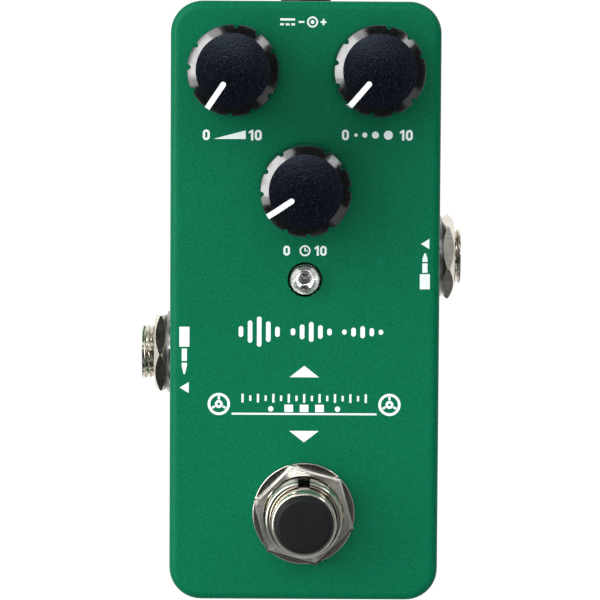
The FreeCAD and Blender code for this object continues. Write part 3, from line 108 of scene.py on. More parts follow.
class PEDAL_PG_colours(bpy.types.PropertyGroup):
    """Colours of the pedal's finishes and of the paper"""

    enamel: colour("Enamel", "#006A43", "Baked green enamel of the case")
    # its lighter points are partly the flakes' own pale colour and partly painted glints
    flake_and_glint: colour("Flake", "#0C8966", "Fine flake in the enamel")
    ink: colour("Ink", "#F4FFF8", "White ink of the panel print")
    knob_face: colour("Knob face", "#010307", "Blasted top of each knob")
    # its lighter marks are partly the blasted grit and partly a painted sparkle
    knob_grit_and_sparkle: colour("Knob grit", "#1F2834", "Lighter grit marks in each knob's top")
    knob_edge: colour("Knob edge", "#08080A", "Polished bevel and wall of each knob")
    pointer: colour("Pointer", "#F6F6F4", "White line on each knob")
    cap: colour("Cap", "#111313", "Moulded cap of the foot button")
    nickel: colour("Nickel", "#E6DFD2", "Bright plated nuts, washers and tubes")
    zinc: colour("Zinc", "#B4B6B5", "Plated steel hidden in the case")
    bronze: colour("Bronze", "#C8A262", "Contact springs and pins")
    rubber: colour("Rubber", "#1A1A1B", "Pad under the case")
    mask: colour("Solder mask", "#0E4A30", "Circuit boards")
    nylon: colour("Nylon", "#15161A", "Moulded sockets and headers")
    switch_case: colour("Switch case", "#26478F", "Moulded case of the foot switch")
    lens: colour("Lens", "#FCFCFC", "Cast lens of the lamp")
    silver: colour("Silver", "#F4F3EF", "Lead frame inside the lamp")
    floor: colour("Floor", "#4C4C4C", "Paper sweep under the pedal, as the pedal mirrors it")
    backdrop: colour("Backdrop", "#FFFFFF", "Paper sweep under the pedal, as it is seen")


class PEDAL_PG_sizes(bpy.types.PropertyGroup):
    """Sizes of the turned, wound and printed pieces"""

    bevel_width: length("Knob bevel width", 1.3, "Width of the polished ring about a knob's face")
    bevel_height: length("Knob bevel height", 0.8, "Height of the polished ring about a knob's face")
    notch_width: length("Notch width", 0.95, "Width of a grip notch in a knob's wall")
    notch_depth: length("Notch depth", 0.55, "Depth of a grip notch in a knob's wall")
    pointer_width: length("Pointer width", 0.85, "Width of the white line on a knob")
    pointer_start: length("Pointer start", 2.15, "Distance of the white line's inner end from the axis")
    switch_pitch: length("Switch thread pitch", 0.75, "Pitch of the foot switch's thread")
    spring_wire: length("Spring wire", 0.6, "Thickness of the foot switch's spring wire")
    jack_pitch: length("Jack thread pitch", 0.8, "Pitch of the jack sockets' threads")
    ink_height: length("Ink height", 0.03, "Thickness of the printed ink")
    facets: bpy.props.IntProperty(name="Facets", description="Sides of a turned piece", default=120, min=24)


# Mesh work


def skin(mesh, loops, closed=True, finish=None):
    """Join point loops of one length into a closed skin; finish(i) gives side i its material index."""
    rings = [[mesh.verts.new(point) for point in loop] for loop in loops]
    sides = len(rings[0])
    for near, far in zip(rings, rings[1:] + (rings[:1] if closed else [])):
        for i in range(sides):
            j = (i + 1) % sides
            face = mesh.faces.new((near[i], near[j], far[j], far[i]))
            face.material_index = finish(i) if finish else 0
    if not closed:
        mesh.faces.new(rings[0][::-1])
        mesh.faces.new(rings[-1])


def eased(outline, steps=4):
    """Round each corner of a closed outline whose third number is a radius."""
    eased_points = []
    for i, (x, y, *radius) in enumerate(outline):
        if not radius:
            eased_points.append((x, y))
            continue
        here, ahead = Vector((x, y)), Vector(outline[(i + 1) % len(outline)][:2])
        back = (Vector(outline[i - 1][:2]) - here).normalized()
        forth = (ahead - here).normalized()
        half = back.angle(forth) / 2
        centre = here + (back + forth).normalized() * radius[0] / math.sin(half)
        reach = radius[0] / math.tan(half)
        first, last = here + back * reach - centre, here + forth * reach - centre
        for step in range(steps + 1):
            spoke = first.lerp(last, step / steps).normalized() * radius[0]
            eased_points.append(tuple(centre + spoke))
    return eased_points


def round_angles(count):
    """Evenly spaced angles once round."""
    return [math.tau * i / count for i in range(count)]


def spun(mesh, section, angles, finish=None):
    """Turn a section about Z, where section(angle) lists its (radius, height) points."""
    loops = []
    for angle in angles:
        across, along = math.cos(angle), math.sin(angle)
        loops.append([(r * across, r * along, z) for r, z in section(angle)])
    skin(mesh, loops, finish=finish)


def turned_mesh(section, angles, finish=None):
    """A new mesh of a section turned about Z; a plain outline is the same at every angle."""
    mesh = bmesh.new()
    spun(mesh, section if callable(section) else lambda angle: section, angles, finish=finish)
    return mesh


def new_piece(name, mesh, finishes, body, stands_for=(), place=None, sharp=35):
    """Make an object of the mesh, shade it, give it its finishes and let it ride on its body."""
    bmesh.ops.remove_doubles(mesh, verts=mesh.verts, dist=1e-7)
    bmesh.ops.recalc_face_normals(mesh, faces=mesh.faces)
    for face in mesh.faces:
        face.smooth = True
    for edge in mesh.edges:
        edge.smooth = len(edge.link_faces) == 2 and edge.calc_face_angle(0) < math.radians(sharp)
    data = bpy.data.meshes.new(name)
    mesh.to_mesh(data)
    mesh.free()
    for finish in finishes:
        data.materials.append(finish_named(finish))
    piece = bpy.data.objects.new(name, data)
    bpy.context.scene.collection.objects.link(piece)
    if place is not None:
        piece.matrix_world = place
    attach(piece, body)
    if stands_for:
        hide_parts(*stands_for)
    return piece


def turned_brass(name, mesh, node, place, sharp=35, body=BODY):
    """A piece of turned and plated brass that stands for a node of the frame."""
    return new_piece(name, mesh, ["turned_brass_bright_nickel"], body, [node], place, sharp)


def soften(piece, width):
    """Break a piece's sharp edges."""
    bevel = piece.modifiers.new("Broken edges", "BEVEL")
    bevel.width = width
    bevel.segments = 2
    bevel.limit_method = "ANGLE"
    bevel.angle_limit = math.radians(40)
    bevel.harden_normals = True


def sawtooth(turns):
    """Height of a V thread, from 0 at its root to 1 at its crest, after so many turns."""
    share = turns % 1
    return 1 - abs(2 * share - 1)


def thread_points(radius, depth, pitch, low, high, angle, steps=4):
    """Points up a thread's flank at one angle, faded out at its top."""
    count = max(2, round((high - low) / pitch * steps))
    points = []
    for i in range(count + 1):
        z = low + (high - low) * i / count
        fade = min(1, (high - z) / pitch, (z - low) / pitch)
        cut = 1 - sawtooth(z / pitch - angle / math.tau)
        points.append((radius - depth * cut * max(0, fade), z))
    return points


def hexagon_radius(angle, flats, turn):
    """Distance from a hexagon's middle to its outline at an angle; a corner stands at turn."""
    sixth = math.pi / 3
    off_flat = (angle - turn) % sixth - sixth / 2
    return flats / 2 / math.cos(off_flat)


def nut_section(bore, flats, low, high, face, cone, drop, turn, ridge):
    """Section of a hexagon nut with a corner at turn, flats apart and a bore of that radius.

    Its face falls outward by the slope cone and ends at radius face, from where its corners are turned
    off by drop; its rim is broken by ridge.
    """
    lip, least = 0.25 * MM, 0.02 * MM
    corner = flats / math.sqrt(3)
    slope = drop / max(corner - face, lip)

    def section(angle):
        rim = hexagon_radius(angle, flats, turn)
        inner = min(face, rim - ridge - least)
        sunk = cone * (inner - bore - lip)
        fall = sunk + slope * (rim - inner)
        return [
            (bore, low + lip),
            (bore, high - lip),
            (bore + lip, high),
            (inner, high - sunk),
            (rim - ridge, high - fall),
            (rim, high - fall - 0.4 * ridge),
            (rim, low + fall),
            (inner, low),
            (bore + lip, low),
        ]

    return section


# Finishes


def add(tree, kind, feeds=None, **settings):
    """Add a node, set its properties, and feed its sockets with values or other nodes' outputs."""
    node = tree.nodes.new(kind)
    for name, value in settings.items():
        setattr(node, name, value)
    named = {socket.identifier: socket for socket in node.inputs}
    for name, value in (feeds or {}).items():
        socket = named.get(name) or node.inputs[name]
        if isinstance(value, bpy.types.Node):
            value = next(output for output in value.outputs if output.enabled)
        if isinstance(value, bpy.types.NodeSocket):
            tree.links.new(value, socket)
        else:
            socket.default_value = value
    return node


def new_canvas(name):
    """A new material's empty node tree, and the object's own coordinates in it."""
    material = bpy.data.materials.new(name)
    material.use_nodes = True
    tree = material.node_tree
    tree.nodes.clear()
    return tree, add(tree, "ShaderNodeTexCoord").outputs["Object"]


def shaded(code, share):
    """A colour made darker or lighter by a share."""
    return [min(1, max(0, v * share)) for v in code[:3]] + [1.0]


def finished(name, base, tones, shine, bump, canvas=None, **constants):
    """Close a finish: other tones over its base colour, a shine that varies, and a bump.

    A grain is its width in millimetres and its detail, or a pattern that the canvas already holds.
    Each tone has its grain, the grain's levels where it starts and is full, its share when full, and
    its colour. The shine has its grain, two levels of it, and the roughness at each. The bump has its
    grain, its depth in millimetres and its strength.
    """
    tree, where = canvas or new_canvas(name)
    grains = {}
    for grain, *_ in (*tones, shine, bump):
        if isinstance(grain, tuple) and grain not in grains:
            feeds = {"Vector": where, "Scale": per(grain[0]), "Detail": grain[1]}
            grains[grain] = add(tree, "ShaderNodeTexNoise", feeds)

    tint = base
    for grain, start, full, share, tone in tones:
        feeds = {"Value": grains.get(grain, grain), "From Min": start, "From Max": full, "To Max": share}
        cover = add(tree, "ShaderNodeMapRange", feeds)
        feeds = {"Factor_Float": cover, "A_Color": tint, "B_Color": tone}
        tint = add(tree, "ShaderNodeMix", feeds, data_type="RGBA")

    grain, low, high, smooth, rough = shine
    feeds = {"Value": grains.get(grain, grain), "From Min": low, "From Max": high}
    feeds |= {"To Min": smooth, "To Max": rough}
    roughness = add(tree, "ShaderNodeMapRange", feeds)

    grain, depth, strength = bump
    feeds = {"Height": grains.get(grain, grain), "Distance": depth * MM, "Strength": strength}
    normal = add(tree, "ShaderNodeBump", feeds)

    feeds = {"Base Color": tint, "Roughness": roughness, "Normal": normal}
    feeds |= {key.replace("_", " "): value for key, value in constants.items()}
    shader = add(tree, "ShaderNodeBsdfPrincipled", feeds)
    add(tree, "ShaderNodeOutputMaterial", {"Surface": shader})
    return bpy.data.materials[name]


def flaked_enamel(name, colours):
    """Cast aluminium, sprayed and baked with green enamel: satin, with fine flakes drawn as paler points that
    are partly painted glints.
    """
    green = colours.enamel
    return finished(
        name,
        green,
        # clouds of the spray 3 mm wide; flakes of 0.05 mm, drawn about 0.2 mm wide so that they show, as
        # paler points that are partly the flakes' own colour and partly painted glints
        tones=(
            ((3.0, 2), 0, 1, 1, shaded(green, 0.93)),
            ((0.19, 1), 0.5, 0.28, 0.6, shaded(green, 0.72)),
            ((0.17, 1), 0.5, 0.72, 0.7, colours.flake_and_glint),
        ),
        # orange peel, 0.7 mm from crest to crest
        shine=((0.7, 2), 0.3, 0.7, 0.36, 0.4),
        bump=((0.7, 2), 0.02, 0.3),
        IOR=1.5,
        Specular_IOR_Level=0.08,
    )


def screen_ink(name, colours):
    """White epoxy ink pressed through a screen: flat and faintly uneven, with pinholes in the film."""
    white = colours.ink
    return finished(
        name,
        white,
        # pinholes of 0.05 mm, drawn 0.18 mm wide
        tones=(((0.9, 2), 0, 1, 1, shaded(white, 0.93)), ((0.18, 1), 0.66, 0.72, 1, shaded(white, 0.82))),
        shine=((0.9, 2), 0.3, 0.7, 0.46, 0.54),
        bump=((0.25, 2), 0.006, 0.6),
        IOR=1.5,
    )


def blasted_abs(name, colours):
    """ABS moulded against a blasted tool: matt blue-black, with a fine sparkle where light grazes it, and
    lighter grit marks that also paint a faint sparkle all over.
    """
    # grit marks of 0.1 mm, drawn 0.22 mm wide; their bump is real, and their lighter tone is partly a painted
    # sparkle
    grit = (0.22, 1)
    return finished(
        name,
        colours.knob_face,
        tones=((grit, 0.58, 0.76, 1, colours.knob_grit_and_sparkle),),
        shine=((0.8, 2), 0.3, 0.7, 0.18, 0.22),
        bump=(grit, 0.03, 1.0),
        IOR=1.54,
        Specular_IOR_Level=0.6,
        Specular_Tint=linear("#D3E4FF"),
    )


def polished_abs(name, colours):
    """ABS moulded against a polished tool: deep gloss black, with a slight sink in its surface."""
    black = colours.knob_edge
    return finished(
        name,
        black,
        tones=(((2.0, 2), 0, 1, 1, shaded(black, 1.3)),),
        # fingers dull it in patches of 0.8 mm
        shine=((0.8, 2), 0.3, 0.7, 0.1, 0.2),
        bump=((1.6, 2), 0.02, 0.35),
        IOR=1.54,
        Specular_IOR_Level=1.0,
    )


def pointer_enamel(name, colours):
    """White enamel run into a groove: smooth, slightly soft at its edges."""
    white = colours.pointer
    return finished(
        name,
        white,
        tones=(((0.6, 2), 0, 1, 1, shaded(white, 0.95)),),
        shine=((0.5, 2), 0.3, 0.7, 0.32, 0.38),
        bump=((0.5, 2), 0.01, 0.4),
        IOR=1.5,
    )


def moulded_acetal(name, colours):
    """Black acetal, moulded with a fine tool grain: dry and even, and polished a little by shoes."""
    black = colours.cap
    # tool grain of 0.1 mm, drawn 0.22 mm wide
    grain = (0.22, 2)
    return finished(
        name,
        black,
        tones=((grain, 0, 1, 1, shaded(black, 1.25)),),
        shine=((2.4, 2), 0.35, 0.7, 0.46, 0.6),
        bump=(grain, 0.012, 0.4),
        IOR=1.48,
        Specular_IOR_Level=0.3,
    )


def turned_nickel(name, colours):
    """Brass turned on a lathe and plated with bright nickel: mirror bright, with fine rings from the tool."""
    tree, where = new_canvas(name)
    # feed marks of 0.05 mm, drawn 0.22 mm apart so that they show
    feeds = {"Vector": where, "Scale": per(0.22) * WAVE, "Distortion": 0.6, "Detail": 1.0}
    rings = add(tree, "ShaderNodeTexWave", feeds, wave_type="RINGS", rings_direction="Z")
    return finished(
        name,
        colours.nickel,
        tones=(((1.5, 2), 0, 1, 1, shaded(colours.nickel, 0.88)),),
        shine=((1.5, 2), 0.3, 0.7, 0.07, 0.17),
        bump=(rings, 0.003, 0.5),
        canvas=(tree, where),
        Metallic=1.0,
    )


def plated(name, base, smooth, rough, cloud, depth):
    """Plated sheet metal: its shine varies in clouds, over the fine lines of the rolled sheet.

    The roughness is smooth to rough; the clouds' width and the lines' depth are in millimetres.
    """
    tree, where = new_canvas(name)
    lay = add(tree, "ShaderNodeMapping", {"Vector": where, "Scale": (1.0, 0.08, 1.0)})
    # rolling lines of 0.02 mm, drawn 0.12 mm wide
    lines = add(tree, "ShaderNodeTexNoise", {"Vector": lay, "Scale": per(0.12), "Detail": 2.0})
    return finished(
        name,
        base,
        tones=(((cloud, 2), 0, 1, 1, shaded(base, 0.82)),),
        shine=((cloud, 2), 0.3, 0.7, smooth, rough),
        bump=(lines, depth, 0.5),
        canvas=(tree, where),
        Metallic=1.0,
    )


def bright_nickel(name, colours):
    """Pressed steel plated with bright nickel: smooth and mirror bright."""
    return plated(name, colours.nickel, smooth=0.08, rough=0.16, cloud=1.2, depth=0.002)


def zinc_plate(name, colours):
    """Pressed steel plated with zinc: grey, soft shine, faintly lined."""
    return plated(name, colours.zinc, smooth=0.26, rough=0.4, cloud=0.8, depth=0.006)


def spring_wire(name, colours):
    """Music wire drawn through a die and zinc plated: grey, with a soft sheen along the coil."""
    return plated(name, colours.zinc, smooth=0.2, rough=0.34, cloud=0.4, depth=0.003)


def tinned_can(name, colours):
    """Drawn steel can with a tin coat: pale, brushed and a little dull."""
    return plated(name, shaded(colours.zinc, 1.1), smooth=0.34, rough=0.46, cloud=1.6, depth=0.01)


def milled_aluminium(name, colours):
    """Aluminium bar, milled and left bare: pale grey with fine cutter lines."""
    return plated(name, shaded(colours.zinc, 1.2), smooth=0.28, rough=0.38, cloud=0.6, depth=0.012)


def spring_bronze(name, colours):
    """Phosphor bronze strip, rolled and stamped: warm, brushed along its length."""
    return plated(name, colours.bronze, smooth=0.22, rough=0.34, cloud=0.7, depth=0.005)


def silvered_frame(name, colours):
    """Silver-plated lead frame inside the lamp: white metal, bright in its cup."""
    return plated(name, colours.silver, smooth=0.06, rough=0.14, cloud=0.5, depth=0.001)


def moulded(name, base, roughness, ior, grain, depth):
    """Moulded plastic with a tool grain of so many millimetres, pressed in to a depth in millimetres."""
    return finished(
        name,
        base,
        tones=(((grain, 3), 0, 1, 1, shaded(base, 1.35)),),
        shine=((grain, 3), 0.3, 0.7, roughness * 0.85, roughness * 1.15),
        bump=((grain, 3), depth, 0.6),
        IOR=ior,
    )


def glass_filled_nylon(name, colours):
    """Nylon with glass fibre, moulded: dark, half matt, with fibre lying near its surface."""
    return moulded(name, colours.nylon, roughness=0.45, ior=1.53, grain=0.25, depth=0.012)


def phenolic(name, colours):
    """Blue phenolic moulding: smooth with a wax-like shine."""
    return moulded(name, colours.switch_case, roughness=0.36, ior=1.6, grain=0.6, depth=0.006)


def painted_plate(name, colours):
    """Steel plate with black powder coat: low shine over a fine orange peel."""
    return moulded(name, colours.nylon, roughness=0.5, ior=1.5, grain=0.55, depth=0.02)


def chip_resistor(name, colours):
    """Alumina chip with a black glaze: small, dark and glassy."""
    return moulded(name, shaded(colours.nylon, 1.2), roughness=0.3, ior=1.6, grain=0.3, depth=0.006)


def moulded_neoprene(name, colours):
    """Neoprene sheet moulded on a cloth: dull black, with a fine crossed weave pressed into it."""
    tree, where = new_canvas(name)
    # weave of 0.5 mm, drawn 1.4 mm wide, crossed at right angles
    threads = {"Vector": where, "Scale": per(1.4) * WAVE}
    warp = add(tree, "ShaderNodeTexWave", threads, bands_direction="X")
    weft = add(tree, "ShaderNodeTexWave", threads, bands_direction="Y")
    cloth = add(tree, "ShaderNodeMath", {0: warp, 1: weft}, operation="MULTIPLY")
    dust = (1.1, 4)
    return finished(
        name,
        colours.rubber,
        tones=((dust, 0, 1, 1, shaded(colours.rubber, 1.6)),),
        shine=(dust, 0.3, 0.7, 0.78, 0.92),
        bump=(cloth, 0.05, 0.5),
        canvas=(tree, where),
        IOR=1.52,
    )


def masked_board(name, colours):
    """Glass epoxy board under solder mask: glossy green, tracks showing paler, pads tinned."""
    tree, where = new_canvas(name)
    # pads 1 mm wide on a 2.54 mm grid; tracks 1.27 mm apart, joined every 2.54 mm
    feeds = {"Vector": where, "Scale": per(2.54), "Randomness": 0.0}
    pads = add(tree, "ShaderNodeTexVoronoi", feeds, feature="F1").outputs["Distance"]
    tinned = add(tree, "ShaderNodeMapRange", {"Value": pads, "From Min": 0.24, "From Max": 0.2})
    feeds = {
        "Vector": where,
        "Scale": per(5.08),
        "Mortar Size": 0.05,
        "Mortar Smooth": 0.1,
        "Color1": colours.mask,
        "Color2": shaded(colours.mask, 0.85),
        "Mortar": shaded(colours.mask, 1.9),
    }
    return finished(
        name,
        add(tree, "ShaderNodeTexBrick", feeds),
        tones=((tinned, 0, 1, 1, shaded(colours.zinc, 1.1)),),
        shine=((1.5, 2), 0.3, 0.7, 0.24, 0.36),
        bump=((0.5, 2), 0.01, 0.4),
        canvas=(tree, where),
        Metallic=tinned,
    )


def sleeved_can(name, colours):
    """Aluminium can in a black vinyl sleeve, with its bare top showing."""
    tree, where = new_canvas(name)
    upright = add(tree, "ShaderNodeNewGeometry").outputs["Normal"]
    upright = add(tree, "ShaderNodeSeparateXYZ", {"Vector": upright}).outputs["Z"]
    bare = add(tree, "ShaderNodeMapRange", {"Value": upright, "From Min": 0.85, "From Max": 0.95})
    return finished(
        name,
        shaded(colours.nylon, 1.4),
        tones=((bare, 0, 1, 1, colours.zinc),),
        shine=((0.7, 2), 0.3, 0.7, 0.28, 0.4),
        bump=((0.7, 2), 0.008, 0.6),
        canvas=(tree, where),
        Metallic=bare,
    )


def clear_epoxy(name, colours):
    """Cast epoxy, water clear: bends the view of what is set in it, with a hard gloss."""
    swirl = (1.2, 2)
    return finished(
        name,
        colours.lens,
        tones=((swirl, 0, 1, 1, shaded(colours.lens, 0.97)),),
        shine=(swirl, 0.3, 0.7, 0.01, 0.04),
        bump=(swirl, 0.004, 0.3),
        IOR=1.54,
        Transmission_Weight=1.0,
        Coat_Weight=1.0,
        Coat_Roughness=0.02,
        Coat_IOR=1.7,
    )


def matt_paper(name, colours):
    """Sized paper sweep, lit from beneath: plain, white and matt."""
    tree, where = new_canvas(name)
    # that light is seen, and mirrored near the pedal, but it lights nothing, so that the pedal stands over
    # a dim floor
    ray = add(tree, "ShaderNodeLightPath").outputs
    reach = add(tree, "ShaderNodeVectorMath", {0: where}, operation="LENGTH")
    near = add(tree, "ShaderNodeMapRange", {"Value": reach, "From Min": 0.2, "From Max": 0.05})
    near = add(tree, "ShaderNodeMath", {0: ray["Is Glossy Ray"], 1: near}, operation="MULTIPLY")
    lit = add(tree, "ShaderNodeMath", {0: ray["Is Camera Ray"], 1: near}, operation="MAXIMUM")
    # from below it is clear, so that the pedal's underside can be looked at
    below = add(tree, "ShaderNodeNewGeometry").outputs["Backfacing"]
    above = add(tree, "ShaderNodeMath", {0: 1.0, 1: below}, operation="SUBTRACT")
    return finished(
        name,
        colours.floor,
        tones=(((25, 2), 0, 1, 1, shaded(colours.floor, 0.99)),),
        shine=((0.8, 2), 0.3, 0.7, 0.88, 0.92),
        bump=((0.8, 2), 0.02, 0.2),
        canvas=(tree, where),
        Emission_Color=colours.backdrop,
        Emission_Strength=lit,
        Alpha=above,
    )


FINISHES = {
    "flaked_enamel_on_cast_aluminium": flaked_enamel,
    "screen_printed_epoxy_ink": screen_ink,
    "blasted_moulded_abs": blasted_abs,
    "polished_moulded_abs": polished_abs,
    "poured_white_enamel": pointer_enamel,
    "moulded_black_acetal": moulded_acetal,
    "turned_brass_bright_nickel": turned_nickel,
    "pressed_steel_bright_nickel": bright_nickel,
    "pressed_steel_zinc_plate": zinc_plate,
    "drawn_steel_tinned": tinned_can,
    "drawn_music_wire_zinc_plate": spring_wire,
    "milled_aluminium": milled_aluminium,
    "stamped_phosphor_bronze": spring_bronze,
    "moulded_neoprene": moulded_neoprene,
    "moulded_glass_filled_nylon": glass_filled_nylon,
    "moulded_blue_phenolic": phenolic,
    "powder_coated_steel": painted_plate,
    "solder_masked_glass_epoxy": masked_board,
    "vinyl_sleeved_aluminium": sleeved_can,
    "glazed_alumina": chip_resistor,
    "cast_clear_epoxy": clear_epoxy,
    "silver_plated_lead_frame": silvered_frame,
    "matt_paper": matt_paper,
}

SLOT_FINISHES = {
    "green_case": "flaked_enamel_on_cast_aluminium",
    "plate_metal": "powder_coated_steel",
    "pad_rubber": "moulded_neoprene",
    "steel": "pressed_steel_zinc_plate",
    "board": "solder_masked_glass_epoxy",
    "black_plastic": "moulded_glass_filled_nylon",
    "switch_plastic": "moulded_blue_phenolic",
    "contact_brass": "stamped_phosphor_bronze",
    "pot_metal": "drawn_steel_tinned",
    "shaft_metal": "milled_aluminium",
    "knob_plastic": "polished_moulded_abs",
    "pointer_white": "poured_white_enamel",
    "clear_lens": "cast_clear_epoxy",
    "bright_chrome": "pressed_steel_bright_nickel",
    "cap_plastic": "moulded_black_acetal",
    "can_metal": "vinyl_sleeved_aluminium",
    "resistor_ceramic": "glazed_alumina",
}


def finish_named(name):
    """The finish of that name, made when it is first asked for."""
    return bpy.data.materials.get(name) or FINISHES[name](name, bpy.context.scene.pedal_colours)


class PEDAL_OT_finishes(bpy.types.Operator):
    """Give each solid of the frame the finish of its material slot"""

    bl_idname = "pedal.finishes"
    bl_label = "Finishes"

    def execute(self, context):
        for name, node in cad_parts.items():
            for part in node.material_slots:
                slot = part.material.name.split(".")[0]
                if slot not in SLOT_FINISHES:
                    raise RuntimeError(f"{name} has a slot without a finish: {slot}")
                part.material = finish_named(SLOT_FINISHES[slot])
        return {"FINISHED"}


# Knobs


def knob_form(control, sizes):
    """Where a knob stands, its height, and its radii at the foot, the shoulder and the edge of its face."""
    low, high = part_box(f"{control}_knob")
    middle = (low + high) / 2
    turn = Matrix.Rotation(math.radians(TURNS[control]), 4, "Z")
    place = Matrix.Translation((middle.x, middle.y, low.z)) @ turn
    foot = (high.x - low.x) / 2
    # the wall leans in by 0.25 mm
    shoulder = foot - 0.25 * MM
    return place, high.z - low.z, foot, shoulder, shoulder - sizes.bevel_width


def knob_mesh(tall, foot, shoulder, face, sizes):
    """A knob about Z: crowned face, bevel, drafted wall with grip notches, and the hollow under it."""
    rise = tall - CROWN
    band = rise - sizes.bevel_height
    slope = sizes.bevel_height / sizes.bevel_width
    skirt, roof, collar, socket = 5.95 * MM, 2.7 * MM, 3.05 * MM, 10.5 * MM
    crowned = [(face * share, tall - CROWN * share * share) for share in (0, 0.2, 0.4, 0.6, 0.8)]
    outline = eased(
        [
            *crowned,
            (face, rise, 0.06 * MM),
            (shoulder, band, 0.12 * MM),
            (foot, 0, 0.15 * MM),
            (skirt, 0),
            (skirt, roof),
            (collar, roof),
            (collar, socket),
            (0, socket),
        ]
    )
    # a notch each 30 degrees, but none at the pointer and at each third of a turn from it
    notches = [math.radians(step * 30) for step in range(12) if step % 4]
    reach = sizes.notch_width / 2 / foot
    angles = set(round_angles(sizes.facets))
    for notch in notches:
        angles = {angle for angle in angles if abs(angle - notch) > reach}
        angles |= {notch + reach * share / 4 for share in range(-4, 5)}

    def section(angle):
        bite = 0
        for notch in notches:
            off = abs(angle - notch) / reach
            if off < 1:
                bite = sizes.notch_depth * math.sqrt(1 - off * off)
        points = []
        for r, z in outline:
            # what lies outside the notched wall is drawn back to it, and on the bevel up its slope too
            edge = min(foot, foot - (foot - shoulder) * z / band) - bite
            if r > edge:
                z += (r - edge) * slope if z > rise - 1.5 * sizes.bevel_height else 0
                r = edge
            points.append((r, z))
        return points

    # the face ends half way round its rounded edge; bevel and wall follow
    face_sides = len(crowned) + 2
    return turned_mesh(section, sorted(angles), finish=lambda side: 0 if side < face_sides else 1)


def pointer_mesh(tall, foot, shoulder, face, sizes):
    """The white line: from its round end near a knob's axis, over the bevel and down the wall."""
    proud, sunk, bottom = 0.035 * MM, 0.3 * MM, 0.2 * MM
    half = sizes.pointer_width / 2

    def top(x):
        if x < face:
            return tall - CROWN * (x / face) ** 2
        return tall - CROWN - (x - face) / (shoulder - face) * sizes.bevel_height

    stations = []
    for step in range(7):
        bow = math.pi / 2 * step / 6
        out = sizes.pointer_start + half * (1 - math.cos(bow))
        stations.append((out, max(half * math.sin(bow), 0.01 * MM)))
    stations += [(face * share, half) for share in (0.6, 0.8, 1)]
    # outer and inner distance from the axis, half width, upper and lower height
    rows = [(x, x, y, top(x) + proud, top(x) - sunk) for x, y in stations]
    brink = top(shoulder)
    rows.append((shoulder + proud, shoulder + proud - sunk, half, brink + proud, brink - sunk))
    rows.append((foot + proud, foot + proud - sunk, half, bottom, bottom))
    loops = []
    for out, back, y, up, down in rows:
        loops.append([(out, -y, up), (out, y, up), (back, y, down), (back, -y, down)])
    mesh = bmesh.new()
    skin(mesh, loops, closed=False)
    return mesh


class PEDAL_OT_knobs(bpy.types.Operator):
    """Turn the three knobs with their blasted faces, polished bevels and grip notches"""

    bl_idname = "pedal.knobs"
    bl_label = "Knobs"

    def execute(self, context):
        for control in CONTROLS:
            place, *form = knob_form(control, context.scene.pedal_sizes)
            new_piece(
                f"{control}_knob_turned",
                knob_mesh(*form, context.scene.pedal_sizes),
                ["blasted_moulded_abs", "polished_moulded_abs"],
                f"{control}_control",
                [f"{control}_knob"],
                place,
                sharp=28,
            )
        return {"FINISHED"}


class PEDAL_OT_pointers(bpy.types.Operator):
    """Lay the white line over each knob's face, bevel and wall"""

    bl_idname = "pedal.pointers"
    bl_label = "Pointers"

    def execute(self, context):
        for control in CONTROLS:
            place, *form = knob_form(control, context.scene.pedal_sizes)
            new_piece(
                f"{control}_pointer_line",
                pointer_mesh(*form, context.scene.pedal_sizes),
                ["poured_white_enamel"],
                f"{control}_control",
                [f"{control}_pointer"],
                place,
            )
        return {"FINISHED"}


# Foot switch and lamp


class PEDAL_OT_switch_fixings(bpy.types.Operator):
    """Turn the washer and the hexagon nut that hold the foot switch"""

    bl_idname = "pedal.switch_fixings"
    bl_label = "Switch washer and nut"

    def execute(self, context):
        angles = round_angles(context.scene.pedal_sizes.facets)
        low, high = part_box("switch_washer")
        hole, rim = 6.1 * MM, high.x - SWITCH.x
        outline = eased([(hole, low.z), (hole, high.z), (rim, high.z, 0.2 * MM), (rim, low.z, 0.1 * MM)])
        turned_brass("switch_washer_turned", turned_mesh(outline, angles), "switch_washer", SWITCH_PLACE)

        low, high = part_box("switch_nut")
        turn = math.radians(45)
        section = nut_section(
            bore=6.02 * MM,
            flats=14 * MM,
            low=low.z,
            high=high.z,
            face=7.4 * MM,
            cone=0.19,
            drop=0.1 * MM,
            turn=turn,
            ridge=0.35 * MM,
        )
        mesh = turned_mesh(section, [turn + angle for angle in angles])
        nut = turned_brass("switch_nut_turned", mesh, "switch_nut", SWITCH_PLACE, sharp=15)
        soften(nut, 0.08 * MM)
        return {"FINISHED"}


class PEDAL_OT_switch_neck(bpy.types.Operator):
    """Cut the foot switch's threaded neck with its key way, on its square plate"""

    bl_idname = "pedal.switch_neck"
    bl_label = "Switch neck"

    def execute(self, context):
        sizes = context.scene.pedal_sizes
        low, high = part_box("switch_bushing")
        neck, bore, half_key, depth = 6.0 * MM, 5.1 * MM, 0.925 * MM, 0.4 * MM
        plate = low.z + 1.0 * MM
        lip = [(neck - 0.05 * MM, high.z, 0.45 * MM), (neck, high.z - 0.6 * MM)]
        crest = eased([(bore, plate), (bore, high.z, 0.3 * MM), *lip])[:-1]
        top = high.z - 0.5 * MM
        loops = []
        for step in range(sizes.facets + 1):
            share = step / sizes.facets
            thread = thread_points(neck, depth, sizes.switch_pitch, plate, top, math.tau * share)
            loop = []
            for r, z in crest + thread[::-1]:
                gap = math.asin(half_key / r)
                angle = math.pi / 2 + gap + (math.tau - 2 * gap) * share
                loop.append((r * math.cos(angle), r * math.sin(angle), z))
            loops.append(loop)
        mesh = bmesh.new()
        skin(mesh, loops, closed=False)
        side = (high.x - low.x) / 2

        def square(angle):
            corner = side / max(abs(math.cos(angle)), abs(math.sin(angle)))
            return [(bore, low.z), (bore, plate), (corner, plate), (corner, low.z)]

        spun(mesh, square, round_angles(sizes.facets))
        turned_brass("switch_neck_threaded", mesh, "switch_bushing", SWITCH_PLACE, sharp=40)
        return {"FINISHED"}


